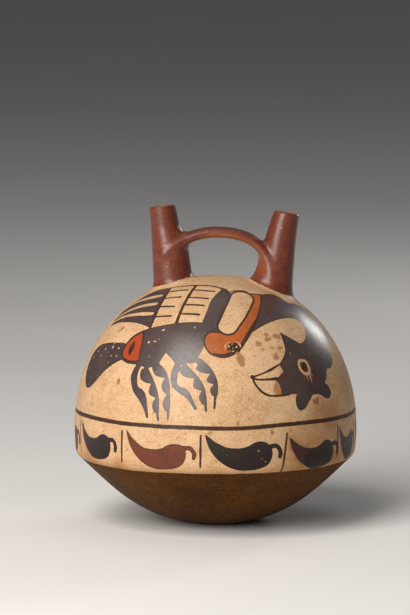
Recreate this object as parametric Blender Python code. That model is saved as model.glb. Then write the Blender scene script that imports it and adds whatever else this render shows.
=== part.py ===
"""A double-spout-and-bridge bottle of painted earthenware, one fired piece.

A turned globular body stands on a small flattened spot under its rounded bowl. Two tapering
spouts lean apart from its crown and a strap handle bridges them. The body and both spouts are
hollow and open into each other. The model is parted in two, level through both necks just above
the crown. Metres, +Z up, the origin at the centre of the foot, the spouts side by side along X.
"""

import math

import bmesh
import bpy
from mathutils import Vector

# Body, outer surface
BODY_RADIUS = 0.0779
WIDEST_Z = 0.052
CROWN_Z = 0.136
DOME_POWER = 2.1  # superellipse exponent of the dome, 2 is an ellipse
FOOT_RADIUS = 0.0165
SHOULDER_Z = 0.0377  # the soft edge where the bowl meets the upper wall
SHOULDER_INSET = 0.0008  # how far the shoulder stands inside the dome's own curve
FOOT_SLOPE = math.radians(10.1)  # the bowl's rise just outside the foot
SHOULDER_SLOPE = math.radians(44.0)  # the bowl's rise just under the shoulder
FOOT_REACH = 0.0291  # length of the bowl curve's tangent at the foot
SHOULDER_REACH = 0.0257  # and of its tangent at the shoulder

# Walls
WALL = 0.0045
FLOOR = 0.0055
LIP_WALL = 0.0019
NECK_WALL = 0.0024  # where a spout runs into the body

# Spouts: stations from the root, inside the body, to the lip, as (x, z, outer radius)
LEFT_STATIONS = ((-0.0236, 0.1255, 0.0106), (-0.0271, 0.1580, 0.0082), (-0.0296, 0.1740, 0.0068))
RIGHT_STATIONS = ((0.0315, 0.1240, 0.0109), (0.0357, 0.1548, 0.0086), (0.0392, 0.1698, 0.0069))
ROOT_FLARE = 0.0020  # how much a spout's radius grows, on its inner side, as it runs into the body
FLARE_SHARE = 0.42  # the share of a spout's length, from its root, that flares
BORE_OVERRUN = 0.004  # how far a bore's cutter stands out past the lip and into the cavity

# Strap handle: its centreline in the XZ plane, and its section
STRAP_ROUTE = (
    (-0.0262, 0.1475),
    (-0.0225, 0.1536),
    (-0.0160, 0.1572),
    (-0.0070, 0.1595),
    (0.0022, 0.1601),
    (0.0115, 0.1590),
    (0.0195, 0.1560),
    (0.0256, 0.1504),
    (0.0293, 0.1425),
    (0.0312, 0.1330),
)
STRAP_WIDTH = 0.0160
STRAP_THICKNESS = 0.0058
SECTION_POWER = 2.8  # superellipse exponent of the strap's section, 2 is an ellipse

# The level parting through both necks
PARTING_Z = 0.1370  # just above the crown
PARTING_GAP = 0.0003
BLOCK_SIZE = 0.2  # a block wider than the bottle, which takes away all that is above the parting

# Facets
BODY_SIDES = 72
CAVITY_SIDES = 48
SPOUT_SIDES = 28
BORE_SIDES = 20
SECTION_SIDES = 18
STRAP_STEPS = 22
BOWL_ROWS = 9
DOME_ROWS = 20
SPOUT_ROWS = 9
BORE_ROWS = 5


def clear_scene():
    """Removes every object of the open scene."""
    for obj in list(bpy.data.objects):
        bpy.data.objects.remove(obj)


def fired_clay():
    """The red-brown burnished slip of the vessel, as one plain material."""
    material = bpy.data.materials.new("slip_painted_clay")
    material.use_nodes = True
    shader = material.node_tree.nodes["Principled BSDF"]
    shader.inputs["Base Color"].default_value = (0.55, 0.36, 0.21, 1.0)
    shader.inputs["Roughness"].default_value = 0.42
    shader.inputs["Metallic"].default_value = 0.0
    return material


def dome_radius(z, inset=0.0):
    """Radius of the upper body at height z, or of a surface that lies inset inside it."""
    reach = (CROWN_Z - WIDEST_Z) - inset
    share = min(abs(z - WIDEST_Z) / reach, 1.0)
    return (BODY_RADIUS - inset) * (1.0 - share**DOME_POWER) ** (1.0 / DOME_POWER)


def bezier(start, first, second, end, t):
    """Point at t on a cubic curve, as a vector in the plane of the profile."""
    u = 1.0 - t
    return u**3 * start + 3 * u * u * t * first + 3 * u * t * t * second + t**3 * end


def bowl_curve(inset, floor):
    """Profile points of the bowl from the foot out to the shoulder, as (radius, z)."""
    shoulder_radius = dome_radius(SHOULDER_Z) - SHOULDER_INSET - inset
    start = Vector((FOOT_RADIUS, floor))
    end = Vector((shoulder_radius, SHOULDER_Z + inset * 0.35))
    first = start + FOOT_REACH * Vector((math.cos(FOOT_SLOPE), math.sin(FOOT_SLOPE)))
    second = end - SHOULDER_REACH * Vector((math.cos(SHOULDER_SLOPE), math.sin(SHOULDER_SLOPE)))
    return [bezier(start, first, second, end, step / BOWL_ROWS) for step in range(BOWL_ROWS + 1)]


def dome_curve(inset):
    """Profile points of the dome from just above the shoulder to the crown, as (radius, z)."""
    reach = (CROWN_Z - WIDEST_Z) - inset
    low = math.asin((SHOULDER_Z + 0.004 - WIDEST_Z) / reach)
    points = []
    for step in range(DOME_ROWS + 1):
        angle = low + (math.pi / 2 - low) * step / DOME_ROWS
        z = WIDEST_Z + reach * math.sin(angle)
        points.append(Vector((dome_radius(z, inset), z)))
    points[-1].x = 0.0
    return points


def turned(name, inset, floor, sides):
    """A closed solid of revolution: the body's outer shape, or its cavity where inset is over 0."""
    profile = [Vector((0.0, floor))] + bowl_curve(inset, floor) + dome_curve(inset)
    mesh = bmesh.new()
    ring = [mesh.verts.new((point.x, 0.0, point.y)) for point in profile]
    edges = [mesh.edges.new(pair) for pair in zip(ring, ring[1:])]
    bmesh.ops.spin(
        mesh, geom=ring + edges, cent=(0, 0, 0), axis=(0, 0, 1), angle=math.tau,
        steps=sides, use_merge=True, use_duplicate=False,
    )
    bmesh.ops.remove_doubles(mesh, verts=mesh.verts, dist=1e-6)
    return finished(mesh, name)


def through(stations, t):
    """Point on the parabola through three stations, at t from 0 to 1, for each of their values."""
    low, middle, high = stations
    weights = (2 * (t - 0.5) * (t - 1.0), 4 * t * (1.0 - t), 2 * t * (t - 0.5))
    return [sum(w * value for w, value in zip(weights, values)) for values in zip(low, middle, high)]


def lofted(name, rings):
    """A closed solid through rings of equal count, with its first and last ring capped."""
    mesh = bmesh.new()
    loops = [[mesh.verts.new(point) for point in ring] for ring in rings]
    for low, high in zip(loops, loops[1:]):
        for side in range(len(low)):
            after = (side + 1) % len(low)
            mesh.faces.new((low[side], low[after], high[after], high[side]))
    mesh.faces.new(loops[0][::-1])
    mesh.faces.new(loops[-1])
    return finished(mesh, name)


def spout_rings(stations, rows, sides, wall_low=0.0, wall_high=0.0, overrun=0.0, flare=0.0):
    """Circles square to a spout's axis, thinner than its outside by a wall from root to lip.

    An overrun carries the tube straight on past both of its ends. A flare widens its root on the
    side that faces the other spout.
    """
    places = [(row / rows, 0.0) for row in range(rows + 1)]
    if overrun:
        places = [(0.0, -overrun)] + places + [(1.0, overrun)]
    rings = []
    for t, beyond in places:
        x, z, radius = through(stations, t)
        before, after = through(stations, max(t - 0.01, 0.0)), through(stations, min(t + 0.01, 1.0))
        along = Vector((after[0] - before[0], 0.0, after[1] - before[1])).normalized()
        across = Vector((along.z, 0.0, -along.x))
        spread = flare * max(1.0 - t / FLARE_SHARE, 0.0) ** 2
        centre = Vector((x - math.copysign(spread, x), 0.0, z)) + beyond * along
        wall = wall_low + (wall_high - wall_low) * t
        rings.append(circle(centre, across, radius + spread - wall, sides))
    return rings


def circle(centre, across, radius, sides):
    """Points of a circle that spans Y and the given direction."""
    turns = [math.tau * side / sides for side in range(sides)]
    return [centre + radius * (math.cos(a) * across + Vector((0, math.sin(a), 0))) for a in turns]


def smooth_route(points, steps):
    """Points on a Catmull-Rom curve through the given ones, with the direction at each."""
    ends = [points[0] * 2 - points[1]] + points + [points[-1] * 2 - points[-2]]
    spans = len(points) - 1
    route = []
    for step in range(steps + 1):
        place = spans * step / steps
        span = min(int(place), spans - 1)
        t = place - span
        a, b, c, d = ends[span : span + 4]
        at = 0.5 * (2 * b + (c - a) * t + (2 * a - 5 * b + 4 * c - d) * t * t
                    + (3 * b - a - 3 * c + d) * t**3)
        along = 0.5 * ((c - a) + 2 * (2 * a - 5 * b + 4 * c - d) * t
                       + 3 * (3 * b - a - 3 * c + d) * t * t)
        route.append((at, along.normalized()))
    return route


def strap_rings():
    """Rounded sections of the strap handle along its arched centreline."""
    points = [Vector((x, 0.0, z)) for x, z in STRAP_ROUTE]
    rings = []
    for centre, along in smooth_route(points, STRAP_STEPS):
        up = Vector((-along.z, 0.0, along.x))
        ring = []
        for side in range(SECTION_SIDES):
            angle = math.tau * side / SECTION_SIDES
            across = squircle(math.cos(angle)) * STRAP_WIDTH / 2
            rise = squircle(math.sin(angle)) * STRAP_THICKNESS / 2
            ring.append(centre + Vector((0.0, -across, 0.0)) + rise * up)
        rings.append(ring)
    return rings


def squircle(value):
    """A circle's cosine or sine drawn out to the corners of the strap's section."""
    return math.copysign(abs(value) ** (2.0 / SECTION_POWER), value)


def finished(mesh, name):
    """The object of a bmesh, with its faces pointing outwards and shaded smooth."""
    bmesh.ops.recalc_face_normals(mesh, faces=mesh.faces)
    data = bpy.data.meshes.new(name)
    mesh.to_mesh(data)
    mesh.free()
    data.shade_smooth()
    data.set_sharp_from_angle(angle=math.radians(35))
    obj = bpy.data.objects.new(name, data)
    bpy.context.scene.collection.objects.link(obj)
    return obj


def as_tool(obj):
    """Keeps a solid that only shapes the vessel out of the finished model."""
    obj.hide_render = True
    obj.display_type = "WIRE"
    return obj


def shape_with(obj, tool, operation):
    """Joins a tool to the object, or cuts it away."""
    modifier = obj.modifiers.new(f"{operation.lower()}_{tool.name}", "BOOLEAN")
    modifier.object = as_tool(tool)
    modifier.operation = operation
    modifier.solver = "EXACT"


def block_above(name, level):
    """A block that holds everything from a level up past the lips."""
    mesh = bmesh.new()
    bmesh.ops.create_cube(mesh, size=BLOCK_SIZE)
    bmesh.ops.translate(mesh, vec=(0.0, 0.0, level + BLOCK_SIZE / 2), verts=mesh.verts)
    return finished(mesh, name)


def spout(name, stations):
    """The outer shape of one spout."""
    return lofted(name, spout_rings(stations, SPOUT_ROWS, SPOUT_SIDES, flare=ROOT_FLARE))


def bore(name, stations):
    """The shape of the space inside one spout, running on past both of its ends."""
    rings = spout_rings(stations, BORE_ROWS, BORE_SIDES, NECK_WALL, LIP_WALL, BORE_OVERRUN)
    return lofted(name, rings)


def build_bottle():
    """The body with the necks' roots, and the spouts with their handle above the parting."""
    clay = fired_clay()
    right_spout = spout("right_spout", RIGHT_STATIONS)
    bores = (bore("left_bore", LEFT_STATIONS), bore("right_bore", RIGHT_STATIONS))

    body = turned("body", 0.0, 0.0, BODY_SIDES)
    body.data.materials.append(clay)
    shape_with(body, spout("left_spout", LEFT_STATIONS), "UNION")
    shape_with(body, right_spout, "UNION")
    shape_with(body, turned("cavity", WALL, FLOOR, CAVITY_SIDES), "DIFFERENCE")

    upper = spout("spouts_and_handle", LEFT_STATIONS)
    upper.data.materials.append(clay)
    shape_with(upper, right_spout, "UNION")
    shape_with(upper, lofted("strap", strap_rings()), "UNION")

    for cutter in bores:
        shape_with(body, cutter, "DIFFERENCE")
        shape_with(upper, cutter, "DIFFERENCE")
    shape_with(body, block_above("above_body", PARTING_Z), "DIFFERENCE")
    shape_with(upper, block_above("above_gap", PARTING_Z + PARTING_GAP), "INTERSECT")


clear_scene()
build_bottle()
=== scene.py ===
"""A double-spout-and-bridge bottle of painted earthenware: its skin, its slip painting and its studio.

The bottle is one fired piece. Its outside is a turned body joined to two spouts and a strap handle,
with the joins smoothed over as wet clay is, and its inside is a cavity that both bores open into.
The slip painting is kept on the mesh as distances to the edge of each colour, in millimetres, and
the material lays the slips over one another by those. Metres, +Z up, the painted bird faces -Y.
"""

import logging
import math
from collections.abc import Iterable, Sequence
from dataclasses import dataclass
from enum import Enum
from functools import cached_property

import bmesh
import bpy
import numpy as np
from mathutils import Matrix, Vector, noise


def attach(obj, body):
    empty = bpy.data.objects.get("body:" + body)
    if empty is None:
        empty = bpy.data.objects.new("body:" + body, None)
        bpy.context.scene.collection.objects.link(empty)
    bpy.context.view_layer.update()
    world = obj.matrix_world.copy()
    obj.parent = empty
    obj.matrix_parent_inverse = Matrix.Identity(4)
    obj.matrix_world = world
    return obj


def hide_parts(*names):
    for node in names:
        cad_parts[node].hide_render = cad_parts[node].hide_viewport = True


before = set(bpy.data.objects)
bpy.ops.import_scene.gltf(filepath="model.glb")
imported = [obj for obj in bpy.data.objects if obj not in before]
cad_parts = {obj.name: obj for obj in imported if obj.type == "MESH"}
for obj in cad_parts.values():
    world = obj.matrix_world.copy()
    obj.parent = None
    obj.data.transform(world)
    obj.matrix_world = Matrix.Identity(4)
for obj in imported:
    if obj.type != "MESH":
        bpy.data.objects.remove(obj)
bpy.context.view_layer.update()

log = logging.getLogger("bottle")

Point = tuple[float, float]
Place = tuple[float, float, float]
Colour = tuple[float, float, float]
Array = np.ndarray
Mesh = bmesh.types.BMesh
Vert = bmesh.types.BMVert
Object = bpy.types.Object
Node = bpy.types.Node
NodeTree = bpy.types.NodeTree
Socket = bpy.types.NodeSocket

MM = 0.001
FAR = 4.0  # millimetres: the distance that a painted shape reports for all that lies further off
TINY = 1e-18  # the least square of a length that anything is divided by


class Slip(Enum):
    """The painted layers, by the name of the attribute that holds the distance to their edge."""

    RED_BROWN = "slip_red_brown"
    ORANGE = "slip_orange"
    RED = "slip_red"
    RUSSET = "slip_russet"
    BLACK = "slip_black"
    RUBBED = "slip_rubbed"
    LINE = "slip_line"
    LOSS = "slip_loss"
    STAIN = "slip_stain"


class Wall(Enum):
    """The material slots of the bottle's mesh."""

    PAINTED = 0
    INNER = 1


# ---- curves


def spline(points: Sequence[Sequence[float]], steps: int, closed: bool = False) -> Array:
    """Points along a smooth curve through the given ones.

    Args:
        points: The points that the curve passes through, of any one width.
        steps: How many points the curve gets for each span between two of them.
        closed: Whether the curve runs on from the last point to the first.

    Returns:
        The curve's points, one a row. An open curve ends on the last given point.
    """
    given = np.array(points, float)
    if closed:
        knots, spans = np.vstack([given[-1:], given, given[:2]]), len(given)
    else:
        first, last = 2 * given[0] - given[1], 2 * given[-1] - given[-2]
        knots, spans = np.vstack([first, given, last]), len(given) - 1
    t = np.linspace(0.0, 1.0, steps, endpoint=False)[:, None]
    curve = []
    for span in range(spans):
        a, b, c, d = knots[span : span + 4]
        cubic = (3 * b - a - 3 * c + d) * t**3
        curve.append(0.5 * (2 * b + (c - a) * t + (2 * a - 5 * b + 4 * c - d) * t**2 + cubic))
    if not closed:
        curve.append(given[-1:])
    return np.vstack(curve)


def bezier(controls: Sequence[Array], steps: int) -> Array:
    """Points along a cubic curve, both of its ends among them.

    Args:
        controls: Its four control points.
        steps: How many spans it is cut into.

    Returns:
        The curve's points, one a row.
    """
    a, b, c, d = controls
    t = np.linspace(0.0, 1.0, steps + 1)[:, None]
    u = 1.0 - t
    return u**3 * a + 3 * u * u * t * b + 3 * u * t * t * c + t**3 * d


def runs_along(curve: Array) -> Array:
    """How far each point of a curve lies from its start, along the curve."""
    return np.concatenate([[0.0], np.cumsum(np.linalg.norm(np.diff(curve, axis=0), axis=1))])


def spaced(curve: Array, spacing: float) -> Array:
    """The same curve with its points nearly evenly spaced.

    Args:
        curve: The curve's points, one a row.
        spacing: The distance wished for from one to the next.

    Returns:
        The new points, with both ends where they were.
    """
    runs = runs_along(curve)
    count = max(int(round(runs[-1] / spacing)), 1)
    places = np.linspace(0.0, runs[-1], count + 1)
    return np.column_stack([np.interp(places, runs, column) for column in curve.T])


def reach_to_route(points: Array, route: Array, radii: Array) -> tuple[Array, Array]:
    """How far points lie outside a tube that follows a route, in the plane or in space.

    Args:
        points: The points, one a row.
        route: The places that the tube's middle passes through.
        radii: The tube's radius at each of them.

    Returns:
        The distance of each point, and the nearest place on the tube's middle.
    """
    best = np.full(len(points), np.inf)
    nearest = np.zeros_like(points)
    for start, end, first, last in zip(route, route[1:], radii, radii[1:]):
        span = end - start
        share = np.clip((points - start) @ span / max(span @ span, TINY), 0.0, 1.0)
        middle = start + share[:, None] * span
        gap = np.linalg.norm(points - middle, axis=1) - (first + (last - first) * share)
        closer = gap < best
        best[closer] = gap[closer]
        nearest[closer] = middle[closer]
    return best, nearest


def outline_distance(at: Array, line: Array) -> Array:
    """How far points lie outside a closed outline.

    Args:
        at: The points, one a row.
        line: The outline's corners, one a row.

    Returns:
        The distance of each point, less than nothing for those within.
    """
    nearest = np.full(len(at), np.inf)
    within = np.zeros(len(at), bool)
    for start, end in zip(line, np.roll(line, -1, axis=0)):
        span, offset = end - start, at - start
        share = np.clip(offset @ span / max(span @ span, TINY), 0.0, 1.0)
        nearest = np.minimum(nearest, ((offset - share[:, None] * span) ** 2).sum(axis=1))
        if start[1] != end[1]:
            crossing = start[0] + span[0] * (at[:, 1] - start[1]) / span[1]
            level = (start[1] > at[:, 1]) != (end[1] > at[:, 1])
            within ^= level & (at[:, 0] < crossing)
    return np.where(within, -1.0, 1.0) * np.sqrt(nearest)


# ---- painted shapes


class Shape:
    """A flat painted shape, in the millimetres of the chart that it is drawn on."""

    def corners(self) -> Array:
        """Points whose box holds the whole shape."""
        raise NotImplementedError

    def exact(self, at: Array) -> Array:
        """How far the given chart points lie outside the shape."""
        raise NotImplementedError

    def distance(self, at: Array) -> Array:
        """How far chart points lie outside the shape, at most FAR.

        Args:
            at: The points, one a row.

        Returns:
            The distance of each point, less than nothing for those within.
        """
        found = np.full(len(at), FAR)
        corners = self.corners()
        near = (at > corners.min(axis=0) - FAR).all(axis=1)
        near &= (at < corners.max(axis=0) + FAR).all(axis=1)
        if near.any():
            found[near] = np.minimum(self.exact(at[near]), FAR)
        return found


class Outline(Shape):
    """A filled shape inside a closed outline."""

    def __init__(self, line: Array) -> None:
        """Keeps the outline's points, one a row."""
        self.line = line

    def corners(self) -> Array:
        """The outline's own points."""
        return self.line

    def exact(self, at: Array) -> Array:
        """The distance to the outline, less than nothing within it."""
        return outline_distance(at, self.line)


class Blob(Outline):
    """A filled shape with a smooth outline, or one of several smooth runs that meet in corners."""

    def __init__(self, *runs: tuple[Point, ...], steps: int = 6) -> None:
        """Draws the outline.

        Args:
            runs: The points of each run. A run starts where the one before it ends.
            steps: How many points the outline gets between two of these.
        """
        if len(runs) == 1:
            super().__init__(spline(runs[0], steps, closed=True))
        else:
            starts = [run[-1] for run in runs[-1:] + runs[:-1]]
            super().__init__(np.vstack([spline((start, *run), steps)[1:]
                                        for start, run in zip(starts, runs)]))


class Stroke(Shape):
    """A brush stroke along a smooth route, with a width that may change on the way."""

    def __init__(self, route: Sequence[Point], widths: Sequence[float], steps: int = 5) -> None:
        """Keeps the stroke's middle and half width.

        Args:
            route: The points that it passes through.
            widths: Its width at each of them, or one width for all.
            steps: How many points it gets between two of these.
        """
        widths = list(widths) * (len(route) if len(widths) == 1 else 1)
        track = spline([(x, y, width / 2) for (x, y), width in zip(route, widths)], steps)
        self.route, self.halves = track[:, :2], track[:, 2]

    def corners(self) -> Array:
        """Its middle line, moved out by its width to both sides."""
        widest = self.halves.max()
        return np.vstack([self.route - widest, self.route + widest])

    def exact(self, at: Array) -> Array:
        """The distance to the stroke's edge."""
        return reach_to_route(at, self.route, self.halves)[0]


@dataclass(frozen=True)
class Oval(Shape):
    """A filled oval, level or turned.

    Attributes:
        centre: Its middle.
        radii: Its two radii.
        turn: How far it is turned, in degrees.
    """

    centre: Point
    radii: Point
    turn: float = 0.0

    def corners(self) -> Array:
        """The corners of the square that holds it however it is turned."""
        return np.array(self.centre) + np.array([[-1.0], [1.0]]) * max(self.radii)

    def exact(self, at: Array) -> Array:
        """The distance to the oval's edge, nearly.

        Args:
            at: The points, one a row.

        Returns:
            The distance of each point, less than nothing for those within.
        """
        cosine, sine = math.cos(math.radians(self.turn)), math.sin(math.radians(self.turn))
        offset = (at - self.centre) @ np.array([[cosine, -sine], [sine, cosine]])
        swell = np.maximum(np.linalg.norm(offset / self.radii, axis=1), 1e-6)
        return np.maximum((swell - 1.0) * np.linalg.norm(offset, axis=1) / swell,
                          -min(self.radii))


@dataclass(frozen=True)
class Altered(Shape):
    """A shape that is made from another one, and lies in its box.

    Attributes:
        shape: The other one.
    """

    shape: Shape

    def corners(self) -> Array:
        """The corners of the other shape."""
        return self.shape.corners()


@dataclass(frozen=True)
class Rim(Altered):
    """The line that edges a shape.

    Attributes:
        width: The line's width.
        out: How far its middle lies outside the edge.
    """

    width: float
    out: float = 0.0

    def exact(self, at: Array) -> Array:
        """The distance to the line's edge."""
        return np.abs(self.shape.exact(at) - self.out) - self.width / 2


@dataclass(frozen=True)
class Inset(Altered):
    """The middle of a shape.

    Attributes:
        inset: How far in from the shape's edge it starts.
    """

    inset: float

    def exact(self, at: Array) -> Array:
        """The distance to the inner edge."""
        return self.shape.exact(at) + self.inset


@dataclass(frozen=True)
class Within(Altered):
    """The part of a shape that lies within another.

    Attributes:
        other: That other one.
    """

    other: Shape

    def exact(self, at: Array) -> Array:
        """The further of the two distances."""
        return np.maximum(self.shape.exact(at), self.other.exact(at))


def toe(edge: Sequence[Point], claw: Point, lobes: tuple[float, float, float],
        notches: tuple[float, float, float]) -> list[Shape]:
    """A bird's toe: smooth on its outer edge, with three pads on the inner one and a thin claw.

    Args:
        edge: Points of the outer edge, from the leg down.
        claw: The tip of the claw.
        lobes: How wide the toe is over each of its pads.
        notches: Where each pad starts, as shares of the edge.

    Returns:
        The toe and its claw.
    """
    waist, claw_width, fullness = 1.9, 1.55, 0.8
    past_end = 1.02
    line = spaced(spline(edge, 8), 0.5)
    share = runs_along(line) / runs_along(line)[-1]
    width = np.full(len(line), waist)
    for lobe, start, end in zip(lobes, notches, (*notches[1:], past_end)):
        part = np.clip((share - start) / (end - start), 0.0, 1.0)
        width += (lobe - waist) * np.sin(math.pi * part) ** fullness
    way = np.gradient(line, axis=0)
    inward = np.column_stack([way[:, 1], -way[:, 0]]) / np.linalg.norm(way, axis=1)[:, None]
    pad = Outline(np.vstack([line, (line + inward * width[:, None])[::-1]]))
    heel = line[-1] + inward[-1] * waist / 2
    return [pad, Stroke((tuple(heel), claw), (claw_width, 0.8 * claw_width))]


@dataclass(frozen=True)
class Mark:
    """One step of the painting.

    Attributes:
        slip: The layer that it belongs to.
        shape: Its shape on the chart.
        takes: Whether it clears the layer there and doesn't lay it on.
    """

    slip: Slip
    shape: Shape
    takes: bool = False


def laid(slip: Slip, *shapes: Shape, takes: bool = False) -> list[Mark]:
    """A mark of one slip for each of some shapes."""
    return [Mark(slip, shape, takes) for shape in shapes]


@dataclass(frozen=True)
class DomeChart:
    """A flat chart of one side of the upper wall, true to scale round its middle.

    Attributes:
        azimuth: The side that it faces, in degrees from +X.
        elevation: How far its middle lies above the level, in degrees.
        radius: The radius of the ball that it is laid out on, in millimetres.
        middle_z: The height of that ball's middle, in millimetres.
    """

    azimuth: float
    elevation: float = 25.0
    radius: float = 80.0
    middle_z: float = 52.0

    def flat(self, points: Array) -> Array:
        """Where points in space lie on the chart.

        Args:
            points: The points in metres, one a row.

        Returns:
            Rows of millimetres across and up.
        """
        azimuth, elevation = math.radians(self.azimuth), math.radians(self.elevation)
        across = np.array([-math.sin(azimuth), math.cos(azimuth), 0.0])
        level = np.array([math.cos(azimuth), math.sin(azimuth), 0.0])
        out = math.cos(elevation) * level + np.array([0.0, 0.0, math.sin(elevation)])
        upward = np.array([0.0, 0.0, math.cos(elevation)]) - math.sin(elevation) * level
        ways = points / MM - np.array([0.0, 0.0, self.middle_z])
        ways /= np.linalg.norm(ways, axis=1)[:, None]
        angle = np.arccos(np.clip(ways @ out, -1.0, 1.0))
        stretch = self.radius * angle / np.maximum(np.sin(angle), 1e-6)
        return np.column_stack([ways @ across, ways @ upward]) * stretch[:, None]


@dataclass(frozen=True)
class FriezeChart:
    """A flat chart of the band round the body, rolled out from a middle azimuth.

    Attributes:
        azimuth: The middle of the chart, in degrees to the right of the bottle's front.
        per_degree: The millimetres of wall in a degree.
    """

    azimuth: float
    per_degree: float = 1.358

    def flat(self, points: Array) -> Array:
        """Where points in space lie on the chart.

        Args:
            points: The points in metres, one a row.

        Returns:
            Rows of millimetres across and up.
        """
        round_axis = np.degrees(np.arctan2(points[:, 0], -points[:, 1])) - self.azimuth
        across = (round_axis + 180.0) % 360.0 - 180.0
        return np.column_stack([across * self.per_degree, points[:, 2] / MM])


Chart = DomeChart | FriezeChart


@dataclass(frozen=True)
class Bird:
    """A flying bird seen from the side, its head turned down at the end of a thick bent neck.

    Attributes:
        chart: The side of the bottle that it is painted on.
        plain: Whether the small strokes are left out, as on the side that is seen less.
        line: The width of its thin lines.
    """

    chart: DomeChart
    plain: bool = False
    line: float = 1.0

    def marks(self) -> list[Mark]:
        """Every step of the bird's painting, in order."""
        parts = self.tail_and_body() + self.wing() + self.feet() + self.collar() + self.head()
        return parts + self.beak() + ([] if self.plain else self.wear())

    def tail_and_body(self) -> list[Mark]:
        """The tail, the body and the orange rump between them.

        Returns:
            The marks, from the lowest up.
        """
        tail = Blob(((-53, 32), (-61, 36.5), (-70, 41), (-78, 44), (-85, 42.5), (-90, 36),
                     (-92, 27), (-90.5, 18), (-86, 14), (-79, 15), (-70, 19), (-61, 21.5),
                     (-53.5, 23)))
        body = Blob(((-53, 32), (-48, 36), (-41, 37.8), (-30, 38), (-18, 37.8), (-7, 36.5),
                     (-2, 33), (-4, 28), (-6.5, 21), (-9.5, 15.5)),
                    ((-14, 12.5), (-20, 11.5), (-22, 12.5)),
                    ((-24, 15.5), (-27.3, 19.7)),
                    ((-29.5, 16.5), (-31.8, 13.5)),
                    ((-38, 12.5), (-43.6, 15.4), (-48.5, 17.2), (-52.8, 19.5), (-56, 23.5),
                     (-55, 27)))
        rump = Blob(((-55, 26.5), (-52.5, 31.5), (-47.5, 35.2), (-41.3, 36.6)),
                    ((-41.4, 30), (-42.7, 24), (-43.6, 18.0)),
                    ((-48.4, 18.8), (-52.2, 21.0), (-54.6, 23.6)))
        slit = Stroke(((-47.0, 31.2), (-48.5, 27.8), (-50.0, 24.2)), (1.3, 3.5, 1.6))
        return (laid(Slip.BLACK, tail, body) + laid(Slip.BLACK, rump, takes=True)
                + laid(Slip.RED, rump) + laid(Slip.LINE, Rim(rump, self.line), slit))

    def wing(self) -> list[Mark]:
        """The feathers, the ruled wing and the dark band that closes it.

        Returns:
            The marks, from the lowest up.
        """
        feathers = Blob(((-70.5, 58.0), (-62.1, 54.6), (-53.0, 49.4), (-46.2, 45.1),
                         (-41.1, 41.4), (-37.3, 38.3)),
                        ((-34.7, 46.3), (-32.3, 54.7), (-29.6, 63.2), (-27.7, 73.7)),
                        ((-34.0, 75.0), (-40.2, 76.0), (-46.2, 74.8), (-51.4, 73.2),
                         (-56.3, 71.8), (-60.5, 70.6), (-64.0, 67.2), (-67.9, 63.0),
                         (-70.5, 58.0)))
        gaps = (Stroke(((-73, 60.8), (-60.7, 59.1), (-49.6, 54.5), (-41.1, 50.9), (-36.8, 49.3)),
                       (0.9, 2.2, 2.6, 2.8, 2.3)),
                Stroke(((-71, 64.3), (-56.9, 63.0), (-47.6, 61.2), (-39.7, 59.0), (-35.1, 57.6)),
                       (0.8, 2.2, 2.6, 2.8, 2.3)),
                Stroke(((-66, 69.2), (-51.8, 70.2), (-42.7, 68.1), (-35.5, 66.3), (-32.7, 65.5)),
                       (0.8, 2.5, 3.2, 3.0, 2.3)))
        root = Stroke(((-37.3, 38.3), (-34.7, 46.3), (-32.3, 54.7), (-29.6, 63.2), (-27.6, 73.4)),
                      (1.5, 1.5, 1.5, 1.4, 1.3))
        middle = Stroke(((-21.6, 37.8), (-19, 47.5), (-15, 60.4), (-11.4, 71.2)), (1.8,))
        ridge = Stroke(((-27.6, 73.4), (-21.6, 72.6), (-14.5, 71.5), (-7.6, 70.3), (-0.8, 68.2),
                        (3.8, 65.6)), (1.0, 1.3, 1.5, 1.5, 1.4, 1.4))
        band = Blob(((-7.4, 36.3), (-5.5, 42.5), (-4.3, 46.8), (-2.4, 53.9), (0.4, 59.3),
                     (2.2, 62.4), (4.0, 66.0)),
                    ((6, 65.5), (8.2, 62)),
                    ((10, 58.5), (8.5, 53), (6.5, 45), (4, 38), (3, 30), (-4, 28.5), (-9, 32),
                     (-7.4, 36.3)))
        left = (((-36, 46), (-33.8, 54), (-31.4, 61), (-29.5, 68.2)),
                ((-25, 43.9), (-23.5, 51.2), (-20, 59.3), (-16.5, 66.3)))
        right = (((-19.7, 44.4), (-17.6, 51.4), (-15.6, 57.8), (-13.8, 65.6)),
                 ((-9, 42.5), (-6.5, 49.3), (-4.3, 55.3), (-0.7, 62.2)))
        widths = (1.25 * self.line, 1.4 * self.line)
        rules = [Stroke(ends, widths) for side in (left, right) for ends in zip(*side)]
        return (laid(Slip.BLACK, feathers) + laid(Slip.BLACK, *gaps, takes=True)
                + laid(Slip.BLACK, band) + laid(Slip.LINE, root, middle, ridge)
                + laid(Slip.LINE, *(() if self.plain else rules)))

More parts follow.
